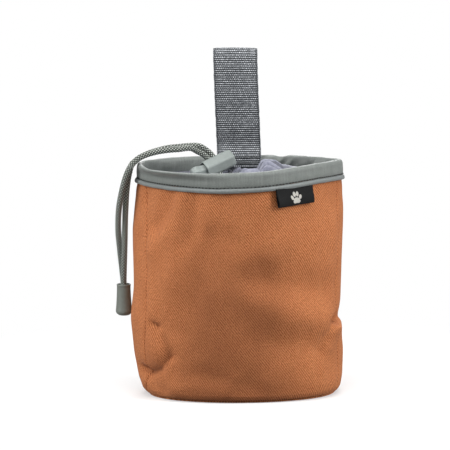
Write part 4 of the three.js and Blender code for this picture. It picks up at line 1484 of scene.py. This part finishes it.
def lock_barrel():
    section = lock_section()
    count, rows = len(section), len(BARREL_OUTSIDE)
    points = lock_to_world(at_stations(BARREL_OUTSIDE + BARREL_INSIDE, section))
    mouth_out = np.arange(count)
    end_out = (rows - 1) * count + mouth_out
    end_in = rows * count + mouth_out
    mouth_in = (rows + len(BARREL_INSIDE) - 1) * count + mouth_out
    lip = [mouth_in, np.roll(mouth_in, -1), np.roll(mouth_out, -1), mouth_out]
    quads = np.concatenate([
        grid_faces(rows, count, False, True),
        grid_faces(len(BARREL_INSIDE), count, False, True, rows * count),
        np.stack(lip, 1),
    ])
    obj = make_mesh("lock_barrel", points, quads, [end_out[::-1], end_in])
    with editing(obj) as bm:
        bmesh.ops.recalc_face_normals(bm, faces=bm.faces)
    cut_slot(obj, "cut_a", 1.7, 11.6)
    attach(dress(obj, LOCK_PLASTIC, "moulded_plastic", "cord_lock_barrel"), "cord_lock")


def lock_button():
    points = at_stations(BUTTON_STATIONS, lock_section() * 0.66)
    # the pad stands a little towards the upper end of the slot
    points[..., 1] += 0.95 * ramp(0.5, -7.5, points[..., 0])
    obj = loft("lock_button", lock_to_world(points))
    cut_slot(obj, "cut_b", -1.0, 9.9)
    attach(dress(obj, LOCK_PLASTIC, "moulded_plastic", "cord_lock_button"), "button")


def lock_spring():
    """Compression spring between the button and the closed end of the barrel."""
    start, end, coil_r, wire_r, turns = 12.8, 16.9, 2.1, 0.28, 3.5
    share = np.linspace(0, 1, 220)
    angle = share * turns * TAU
    # the end turns lie closer together
    along = start + (end - start) * (0.06 + 0.88 * (share + 0.045 * np.sin(TAU * share)))
    path = np.stack([along, coil_r * np.cos(angle), coil_r * np.sin(angle)], 1)
    path = lock_to_world(path)
    turn = np.linspace(0, TAU, 14, endpoint=False)
    obj = loft("lock_spring", tube(path, *tube_frames(path), wire_r, turn))
    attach(dress(obj, STEEL, "spring_steel", "cord_lock_spring"), "cord_lock")
    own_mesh(obj)


lock_barrel()
lock_button()
lock_spring()


# ------------------------------------------------------------------ cord end
BELL_X, BELL_Y, BELL_TOP, BELL_FOOT = -68.0, 5.0, 62.4, 44.0
# radius and height: the top lip, the flared side, the foot, then back up the inside
BELL_LIP = [
    (3.3, BELL_TOP - 0.15), (3.62, BELL_TOP), (3.98, BELL_TOP - 0.2),
    (4.08, BELL_TOP - 0.7), (3.98, BELL_TOP - 1.3),
]
BELL_SIDE = [
    (3.95, BELL_TOP - 1.5), (4.02, BELL_TOP - 4), (4.25, BELL_TOP - 9),
    (4.62, BELL_FOOT + 4.2), (4.76, BELL_FOOT + 3.2),
]
BELL_BOTTOM = [
    (4.78, BELL_FOOT + 2.9), (4.74, BELL_FOOT + 2.2), (4.5, BELL_FOOT + 1.5),
    (4.1, BELL_FOOT + 1.0), (3.95, BELL_FOOT + 0.9),
]
BELL_INSIDE = [
    (3.9, BELL_FOOT + 1.1), (3.92, 48.0), (3.75, 52.0), (3.55, 56.5), (3.4, 60.5),
    (3.3, BELL_TOP - 0.5),
]
PLUG_PROFILE = [
    (0.6, BELL_FOOT + 0.3), (1.2, BELL_FOOT + 0.28), (1.4, BELL_FOOT + 0.02),
    (2.6, BELL_FOOT + 0.05), (3.3, BELL_FOOT + 0.3), (3.75, BELL_FOOT + 0.7),
    (3.82, BELL_FOOT + 1.1), (3.82, BELL_FOOT + 2.4), (3.4, BELL_FOOT + 2.5),
]


def revolve(profile, around):
    """Turn a profile of (radius, z) about the bell's axis: (around, profile points, 3)."""
    radius, z = np.asarray(profile, float).T
    turn = np.linspace(0, TAU, around, endpoint=False)[:, None]
    x, y = BELL_X + radius * np.cos(turn), BELL_Y + radius * np.sin(turn)
    return np.stack([x, y, z + 0 * x], -1)


def cord_bell():
    curves = ((BELL_LIP, 12), (BELL_SIDE, 22), (BELL_BOTTOM, 12))
    outside = [spline(points, count)[0] for points, count in curves]
    obj = loft("cord_bell", revolve(np.concatenate([*outside, BELL_INSIDE]), 96), ring=True)
    shade_by_angle(obj, 40)
    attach(dress(obj, BELL_PLASTIC, "moulded_plastic", "cord_end_bell"), "tail")


def cord_plug():
    """Closes the bell from below."""
    obj = loft("cord_plug", revolve(PLUG_PROFILE, 72).transpose(1, 0, 2))
    shade_by_angle(obj, 40)
    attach(dress(obj, BELL_PLASTIC, "moulded_plastic", "cord_end_plug"), "tail")


def tail_knot():
    """Overhand knot of the two tails inside the bell."""
    count, step = 90, 0.32
    t = np.linspace(0, TAU, count, endpoint=False)
    radius = 1.75 + 0.55 * np.cos(3 * t)
    x, y = BELL_X + radius * np.cos(2 * t), BELL_Y + radius * np.sin(2 * t)
    path = np.stack([x, y, 50.3 + 1.55 * np.sin(3 * t)], 1)
    along = unit(np.roll(path, -1, 0) - np.roll(path, 1, 0))
    across = unit(np.cross(along, np.array([0, 0, 1.0])))
    turn = np.linspace(0, TAU, 20, endpoint=False)
    s = np.arange(count)[:, None] * step
    relief = braid(s, turn)
    points = tube(path, across, np.cross(along, across), 1.05 + 0.2 * relief, turn)
    obj = loft("tail_knot", points, weave_grid(s, turn), ring=True, attrs={"relief": relief})
    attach(dress(obj, BRAID, "cord", "cord_knot"), "tail")


cord_bell()
cord_plug()
tail_knot()


# ------------------------------------------------------------------ collar
HEM_PLEATS = 46  # pleats held by the drawstring
# crest of the dome that the slack makes on the right: x, y, z
RIDGE = [
    (5.5, -3, 129.6), (7.4, -1, 130.6), (11.1, 1, 133.0), (15.5, 4, 134.9), (20.6, 7, 133.7),
    (25, 8.5, 131.2), (29, 9, 130.7), (35, 9.5, 130.0), (43, 9, 127.2),
]
HEM_SHARE = 0.26  # the hem's share of the way from rim to gathers and round the hem


def hem_swell(phi):
    """The hem stands up higher on the side away from the cord lock."""
    turn = np.mod(phi - math.radians(5) + PI, TAU) - PI
    return np.where(turn < 0, ramp(1.66, 1.05, -turn), ramp(2.35, 1.60, turn))


def hem_start(phi):
    """Where on the hem the skirt arrives: low all round, over the top beside the dome."""
    turn = np.abs(np.mod(phi - math.radians(15) + PI, TAU) - PI)
    return -0.35 + 1.15 * gauss(turn, 0.95)


def hem_phase(phi):
    uneven = vnoise(np.cos(phi) * 3.1, np.sin(phi) * 3.1, 0, 121)
    return HEM_PLEATS * phi + 1.5 * uneven * PI


def hem_pleat(phi):
    wave = np.sin(hem_phase(phi))
    size = 0.75 + 0.4 * vnoise(np.cos(phi) * 5.0, np.sin(phi) * 5.0, 2.0, 123)
    return np.sign(wave) * np.abs(wave) ** 0.75 * size


def hem_point(phi, angle):
    """Point of the gathered hem: angle runs from the outside (0) over the top to the inside."""
    cos, sin = np.cos(phi), np.sin(phi)
    swell = hem_swell(phi)
    arch = 0.55 + 0.45 * np.sin(np.clip(angle, 0, PI))
    radius = 4.1 + 2.1 * swell + (0.55 + 0.75 * swell) * hem_pleat(phi) * arch
    radius = radius + 0.5 * swell * vnoise(cos * 6.0, sin * 6.0, angle * 1.2, 125)
    reach = CROWN_R + radius * np.cos(angle)
    z = CROWN[2] + 3.2 * swell + radius * np.sin(angle)
    return np.stack([CROWN[0] + reach * cos, CROWN[1] + reach * sin, z], -1)


def dome(points):
    """Distance to the crest of the dome, and the height of the crest there."""
    best = np.full(points.shape[:2], 1e9)
    crest = np.zeros(points.shape[:2])
    for start, end in zip(RIDGE[:-1], RIDGE[1:]):
        dist, share = seg(points[..., 0], points[..., 1], start[:2], end[:2])
        near = dist < best
        best = np.where(near, dist, best)
        crest = np.where(near, start[2] + (end[2] - start[2]) * share, crest)
    return best, crest


def back_drop(phi):
    """1 at the back, left of the dome, where the skirt drops straight from its seam."""
    return ramp(0.15, 0.6, np.sin(phi)) * ramp(0.62, 0.30, np.cos(phi))


def skirt_start(phi, u):
    """The skirt from rim (u = 0) to gathers (u = 1): plain, and with its first pleats."""
    rim = np.stack([*on_plan(phi, np.full_like(phi, 125.6), BAND_IN + 0.3),
                    126.1 + rim_raise(phi)], -1)
    ring = hem_point(phi, hem_start(phi))
    flat = rim + (ring - rim) * (u**0.9)[..., None]
    x, y, z = np.moveaxis(flat, -1, 0)  # views into flat
    left = ramp(0.1, -0.6, np.cos(phi))
    z -= (3.0 + 1.8 * left) * np.sin(PI * u**0.7) * ramp(0.0, 0.1, u)
    drop = back_drop(phi) * (1 - 0.45 * ramp(-0.3, -0.7, np.cos(phi)))
    z -= 4.6 * drop * ramp(0.0, 0.10, u) * (1 - ramp(0.35, 1.0, u))
    # the slack on the right stands up as a soft dome
    best, crest = dome(flat)
    z += np.maximum(crest - z, 0) * gauss(best, 7.6) * ramp(1.0, 0.88, u) * ramp(0.0, 0.12, u)
    # pleats that start at the gathers and die out towards the rim
    pleated = flat.copy()
    small = np.sin(hem_phase(phi))
    middle = np.sin(hem_phase(phi) / 2 + 0.8 * vnoise(phi * 2.0, 0, 0, 131))
    large = np.sin(hem_phase(phi) / 4 + 1.6 * vnoise(phi * 1.3, u * 2.0, 0, 137))
    rise = 0.75 * small * u**4 + 0.85 * middle * u**1.3 * (1 - u**4)
    rise = rise + 0.75 * large * np.sin(PI * u) ** 0.8
    pleated[..., 2] += rise + 0.10 * vnoise(x / 3.0, y / 3.0, 0, 133) * np.sin(PI * u)
    pleated[:, -1] = ring[:, -1]
    pleated[:, 0] = flat[:, 0]
    return flat, pleated


def cut_shape(flat, u):
    """The cloth as cut: a little wider than the space it fills, more so at the gathers."""
    around = np.linalg.norm(np.roll(flat, -1, 0) - flat, axis=-1) * (1.07 + 0.50 * u**1.3)
    down = np.linalg.norm(np.diff(flat, axis=1), axis=-1) * 1.02
    radius = around.sum(0) / TAU
    turn = np.concatenate([np.zeros((1, u.shape[1])), np.cumsum(around, 0)[:-1]], 0) / radius
    drop = np.sqrt(np.maximum(down**2 - np.diff(radius) ** 2, (0.35 * down) ** 2))
    height = np.concatenate([np.zeros((len(flat), 1)), np.cumsum(drop, 1)], 1)
    return np.stack([radius * np.cos(turn), radius * np.sin(turn), -height], -1)


def drape(around, rows):
    """The skirt as cloth: held at the rim and at the gathers, its cut length let in between.
    Returns its plain, pleated and simulated points."""
    phi, u = np.meshgrid(
        np.linspace(-PI, PI, around, endpoint=False), np.linspace(0, 1, rows), indexing="ij"
    )
    flat, pleated = skirt_start(phi, u)
    scale = 20.0  # the simulation runs at a size cloth solvers are tuned for
    obj = make_mesh("drape", pleated * scale, grid_faces(around, rows, True, False))
    obj.shape_key_add(name="Basis")
    key = obj.shape_key_add(name="Cut")
    rest = (cut_shape(flat, u) * scale * 0.001).astype(np.float32)
    key.data.foreach_set("co", rest.ravel())
    key.value = 0.0
    pin = obj.vertex_groups.new(name="pin")
    held = np.arange(around * rows).reshape(around, rows)[:, [0, 1, -1]]
    pin.add(held.T.ravel().tolist(), 1.0, "REPLACE")
    modifier = obj.modifiers.new("cloth", "CLOTH")
    cloth = modifier.settings
    cloth.quality = 6
    cloth.mass = 0.25
    cloth.air_damping = 3.0
    cloth.tension_stiffness = cloth.compression_stiffness = 12.0
    cloth.shear_stiffness = 3.0
    cloth.bending_stiffness = 0.35
    cloth.tension_damping = cloth.compression_damping = 8.0
    cloth.vertex_group_mass = "pin"
    cloth.pin_stiffness = 1.0
    cloth.rest_shape_key = key
    cloth.effector_weights.gravity = 0.02
    modifier.collision_settings.use_collision = False
    modifier.collision_settings.use_self_collision = False
    frames = 24
    modifier.point_cache.frame_start, modifier.point_cache.frame_end = 1, frames
    scene = bpy.context.scene
    for frame in range(1, frames + 1):
        scene.frame_set(frame)
    result = obj.evaluated_get(bpy.context.evaluated_depsgraph_get())
    mesh = result.to_mesh()
    coords = np.zeros(len(mesh.vertices) * 3, np.float32)
    mesh.vertices.foreach_get("co", coords)
    result.to_mesh_clear()
    scene.frame_set(1)
    bpy.data.objects.remove(obj)
    return flat, pleated, coords.reshape(around, rows, 3).astype(float) * 1000.0 / scale


def finer(grid, rows, columns):
    """Cubic refinement of a grid closed in its first direction."""

    def cubic(values, where, closed):
        i = np.floor(where).astype(int)
        t = (where - i)[:, None, None]
        count = len(values)
        near = ((i + k) % count if closed else np.clip(i + k, 0, count - 1) for k in range(-1, 3))
        a, b, c, d = (values[j] for j in near)
        return b + 0.5 * t * (c - a + t * (2 * a - 5 * b + 4 * c - d + t * (3 * (b - c) + d - a)))

    grid = cubic(grid, np.arange(rows) * len(grid) / rows, True).transpose(1, 0, 2)
    return cubic(grid, np.linspace(0, len(grid) - 1, columns), False).transpose(1, 0, 2)


def pleats(phi, u):
    """Height of the small pleats that run out from the gathers over the cloth."""
    phi, u = np.broadcast_arrays(phi, u)
    phase = hem_phase(phi)
    fade = ramp(1.0, 0.95, u)
    z = 0.38 * np.sin(phase) * ramp(0.34, 0.80, u) * fade
    bend = 1.1 * vnoise(u * 2.2, phi * 1.6, 0, 141)
    z = z + 0.50 * np.sin(phase / 2 + bend) * ramp(0.10, 0.50, u) * fade
    bend = 1.8 * vnoise(u * 2.6, phi * 1.1, 0, 143)
    return z + 0.42 * np.sin(phase / 5 + bend) * np.sin(PI * u) ** 0.7


def settled_skirt(around, rows):
    """The plain skirt and the simulated one, with its dome at full height."""
    flat, first, sim = drape(around, rows)
    # never further from the start than the cloth could really go
    move = sim - first
    dist = np.linalg.norm(move, axis=-1, keepdims=True)
    sim = first + move * np.minimum(1, 3.5 / np.maximum(dist, 1e-6))
    # lift the crest of the dome by its smoothed height, so that its pleats are kept
    window = np.hanning(23)[1:-1]
    window /= window.sum()
    padded = np.concatenate([sim[-10:, :, 2], sim[..., 2], sim[:10, :, 2]])
    smooth = np.stack([np.convolve(column, window, "valid") for column in padded.T], 1)
    best, crest = dome(sim)
    lift = 0.15 * np.clip(crest - smooth, 0, 3.5) * gauss(best, 6.2)
    sim[..., 2] += lift * ramp(0.0, 0.10, np.linspace(0, 1, rows))
    return flat, sim


def collar():
    flat, sim = settled_skirt(460, 40)
    around, rows, hem_rows = ((920, 90, 56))
    skirt, flat = finer(sim, around, rows), finer(flat, around, rows)
    phi = np.linspace(-PI, PI, around, endpoint=False)[:, None]
    fine = pleats(phi, np.linspace(0, 1, rows))
    skirt[..., 2] += fine
    hem_u = np.linspace(0, 1, hem_rows)[1:]
    hem_phi, _ = np.broadcast_arrays(phi, hem_u)
    angle = hem_start(hem_phi) + (PI * 1.12 - hem_start(hem_phi)) * hem_u
    hem = hem_point(hem_phi, angle)
    best, crest = dome(hem)
    lift = 0.6 * np.clip(crest - hem[..., 2], 0, 3.5) * gauss(best, 6.2)
    hem[..., 2] += lift * ramp(2.5, 1.2, angle)
    points = np.concatenate([skirt, hem], 1)
    x, y, z = np.moveaxis(points, -1, 0)  # views into points
    way = np.r_[np.linspace(0, 1 - HEM_SHARE, rows), 1 - HEM_SHARE + HEM_SHARE * hem_u]
    way = np.broadcast_to(way, z.shape)
    # keep below the lock and its cord
    near = gauss(x + 14.0, 12.0) * gauss(y - 0.5, 9.0)
    z[...] = np.minimum(
        z, np.maximum(123.2 + 9.0 * ramp(0.50, 0.12, near), 123.2 + 0.62 * (x + 12.0))
    )
    step = np.roll(points, -1, 0) - np.roll(points, 1, 0)
    normal = np.cross(step, np.gradient(points, axis=1))
    normal /= np.maximum(np.linalg.norm(normal, axis=-1, keepdims=True), 1e-9)
    if normal[0, 5, 2] < 0:
        normal = -normal
    u = np.clip(way / (1 - HEM_SHARE), 0, 1)
    hem_way = np.clip((way - (1 - HEM_SHARE)) / HEM_SHARE, 0, 1)
    # painted shade in the hollows, on the inside of the hem, and where little light gets in:
    # by the seam at the back and under the lock
    low = np.concatenate([flat[..., 2] - skirt[..., 2], -1.6 * hem_pleat(hem_phi)], 1)
    shade = np.clip(0.70 * ramp(0.0, 1.2, low) * ramp(0.1, 0.5, u), 0, 1)
    shade[:, :rows] = np.maximum(shade[:, :rows], 0.62 * ramp(0.15, -0.85, fine))
    for dark in (
        0.85 * ramp(0.55, 1.0, hem_way),
        0.75 * back_drop(phi) * ramp(0.42, 0.12, u),
        0.6 * gauss(x + 9.0, 8.5) * gauss(y - 1.0, 9.0),
    ):
        shade = np.maximum(shade, dark)
    weave = weave_grid(arc_of(phi) * (1 - 0.7 * u), u * 44.0 + hem_way * 16.0)
    inner = points - normal * 0.25
    obj = sheet("collar_cloth", points, inner, weave, {"shade": shade}, ring=True)
    dress(obj, NYLON, "lining_cloth", "collar_skirt", "collar_hem")
    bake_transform(obj, "pouch", "collar", start=(0, 0, 0.100), end=(0, 0, 0.140))
    set_blend(obj, ramp(0.05, 0.70, np.concatenate([way, way[:, ::-1]], 1)))


collar()


# ------------------------------------------------------------------ side label
LABEL_WIDTH, LABEL_HALF_THICK = 26.4, 0.2
# the folded ribbon from the side: distance off the bag and height, down the rear ply and
# up the front one
LABEL_LINE = [
    (0.78, 124.3), (0.72, 120.9), (0.68, 118.0), (0.78, 115.3), (1.35, 114.1),
    (2.0, 115.3), (2.05, 118.0), (1.6, 120.9), (1.2, 124.3),
]
# blobs of the paw print: centre x and y, half width, half height, turn
PAW = [
    (0, -1.35, 2.0, 1.45, 0.0), (-1.05, -1.9, 1.25, 1.05, 0.0), (1.05, -1.9, 1.25, 1.05, 0.0),
    (-2.55, 0.15, 0.85, 1.25, 0.45), (-0.95, 1.75, 0.9, 1.35, 0.15),
    (0.95, 1.75, 0.9, 1.35, -0.15), (2.55, 0.15, 0.85, 1.25, -0.45),
]


def paw(x, y):
    """A plain paw print: a pad and four toes. 1 inside."""
    blobs = []
    for mid_x, mid_y, wide, high, turn in PAW:
        cos, sin = math.cos(turn), math.sin(turn)
        a = ((x - mid_x) * cos + (y - mid_y) * sin) / wide
        b = (-(x - mid_x) * sin + (y - mid_y) * cos) / high
        blobs.append(1 - np.sqrt(a * a + b * b))
    return ramp(-0.06, 0.10, np.maximum.reduce(blobs))


def label():
    phi = -math.acos(31.1 / 59)
    here, beside = (place(np.array(p), np.array(117.0), 0.0) for p in (phi, phi + 0.02))
    tangent = unit(beside - here)
    away = np.array([tangent[1], -tangent[0], 0])
    line, s = spline(LABEL_LINE, 120)
    along = unit(np.gradient(line, axis=0))
    half_width = LABEL_WIDTH / 2
    xs = np.linspace(-half_width, half_width, 150)
    edge, ones = half_width + 0.08, np.ones(len(xs))
    section_x = np.r_[xs, edge, xs[::-1], -edge]
    section_out = np.r_[ones, 0.0, -ones, 0.0]
    length, x, face = np.broadcast_arrays(s[:, None], section_x, section_out)
    front_ply = length > s[-1] * 0.5
    # the front ply carries the motif
    motif = paw(x / 1.12, (line[:, 1:] - 118.5) / 1.12) * np.where(front_ply, 1.0, 0.0)
    out = line[:, :1] + along[:, 1:] * face * LABEL_HALF_THICK
    z = line[:, 1:] - along[:, :1] * face * LABEL_HALF_THICK
    hang = ramp(122.5, 115, z)
    # front ply stands off at its left edge, and the lower edge lifts to the right
    stand_off = 0.5 * ramp(2, -12, x) + 0.125 * np.sin(x / 3.3)
    out = out + hang * np.where(front_ply, 1, 0.3) * stand_off
    z = z + hang * (0.02 * x) + hang * 0.10 * np.sin(x / 4.0)
    out = out + np.where(front_ply & (face > 0), 0.06, 0) * motif
    # it hangs a little askew, its lower edge further round to the right
    x = x + 0.9 * ramp(123, 114, z) - 1.1
    foot = np.array([here[0], here[1], 0])
    points = foot + x[..., None] * tangent + out[..., None] * away
    points[..., 2] += z
    obj = loft("side_label_ribbon", points, weave_grid(x, length), attrs={"motif": motif})
    dress(obj, LABEL, "ribbon", "side_label")
    # its sewn end stays in the seam while the rest lifts
    start, end = (0.0316, -0.0380, 0.1226), (0.0316, -0.0380, 0.1206)
    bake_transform(obj, "pouch", "label", start=start, end=end)


label()


# ------------------------------------------------------------------ stage, light, camera
# From here on lengths are metres, except in the camera's place.
def floor_material():
    """Pale to the camera, darker to the light it throws back."""
    mat = Shader("floor_white")
    coord = mat.coord()
    pale = mat.mix(mat.noise(coord, 0.6), (0.93, 0.93, 0.93), (0.96, 0.96, 0.96))
    seen = mat.node("LightPath").outputs["Is Camera Ray"]
    # the floor runs out into the white of the studio a hand's breadth from the pouch
    x, y, _ = mat.xyz(coord)
    squares = (mat.math("MULTIPLY", v, v) for v in (x, y))
    dist = mat.math("SQRT", mat.math("ADD", *squares))
    glow = mat.node("Emission")
    glow.inputs["Color"].default_value = (1, 1, 1, 1)
    blend = mat.node("MixShader")
    mat.put(blend.inputs[0], mat.math("MULTIPLY", mat.fade(dist, (0.06, 0.24), (0.35, 1.0)), seen))
    mat.put(blend.inputs[1], mat.surface.outputs[0])
    mat.put(blend.inputs[2], glow.outputs[0])
    mat.put(mat.output.inputs[0], blend.outputs[0])
    return mat.finish(
        Base_Color=mat.mix(seen, (0.26, 0.26, 0.26), pale),
        Roughness=0.9,
        Specular_IOR_Level=0.1,
    )


def add_floor():
    half = 40
    corners = [(-half, -half, 0), (half, -half, 0), (half, half, 0), (-half, half, 0)]
    mesh = bpy.data.meshes.new("floor")
    mesh.from_pydata(corners, [], [(0, 1, 2, 3)])
    obj = bpy.data.objects.new("floor", mesh)
    bpy.context.scene.collection.objects.link(obj)
    mesh.materials.append(floor_material())
    obj.location.z = -0.0002


add_floor()

# name, place, what it points at, width, height, watts
LIGHTS = [
    ("left", (-1.75, -0.75, 1.05), (0, 0, 0.10), 0.9, 1.1, 36.0),
    ("right", (1.75, -0.75, 0.95), (0, 0, 0.10), 0.9, 1.1, 36.0),
    ("top", (0.0, -0.35, 1.9), (0, 0, 0.08), 1.1, 1.1, 14.5),
    ("rim", (0.0, -0.50, 0.60), (0, -0.03, 0.135), 0.7, 0.35, 1.3),
    ("back", (0.3, 1.7, 1.0), (0, 0, 0.09), 1.0, 1.0, 14.0),
]
for name, location, target, width, height, power in LIGHTS:
    light = bpy.data.lights.new(name, "AREA")
    light.energy = power
    light.shape = "RECTANGLE"
    light.size = width
    light.size_y = height
    lamp = bpy.data.objects.new(name, light)
    lamp.location = location
    lamp.rotation_mode = "QUATERNION"
    lamp.rotation_quaternion = (Vector(target) - Vector(location)).to_track_quat("-Z", "Y")
    bpy.context.scene.collection.objects.link(lamp)


def add_world():
    """White to the camera, a dim fill to everything else."""
    fill, seen = 0.215, 1.0
    world = bpy.data.worlds.new("studio")
    bpy.context.scene.world = world
    world.use_nodes = True
    tree = world.node_tree
    background = tree.nodes["Background"]
    background.inputs[0].default_value = (1.0, 1.0, 1.0, 1)
    path = tree.nodes.new("ShaderNodeLightPath")
    strength = tree.nodes.new("ShaderNodeMapRange")
    tree.links.new(path.outputs["Is Camera Ray"], strength.inputs[0])
    strength.inputs[3].default_value = fill
    strength.inputs[4].default_value = seen
    tree.links.new(strength.outputs[0], background.inputs[1])


add_world()

# the camera stands off the view's axis by this much, in mm, without turning
CAMERA_LEFT, CAMERA_UP = 8.90997, 6.94284


def add_camera():
    data = bpy.data.cameras.new("camera")
    data.sensor_width = 36.0
    data.lens = 345.68
    data.clip_start, data.clip_end = 0.05, 100.0
    camera = bpy.data.objects.new("camera", data)
    bpy.context.scene.collection.objects.link(camera)
    location = (EYE - RIGHT * CAMERA_LEFT + UP * CAMERA_UP) * 0.001
    rows = zip(RIGHT, UP, -AHEAD, location)
    camera.matrix_world = Matrix((*(tuple(map(float, row)) for row in rows), (0, 0, 0, 1)))
    bpy.context.scene.camera = camera


add_camera()
view = bpy.context.scene.view_settings
view.view_transform = "Standard"
view.look = "None"
view.exposure = 0.0
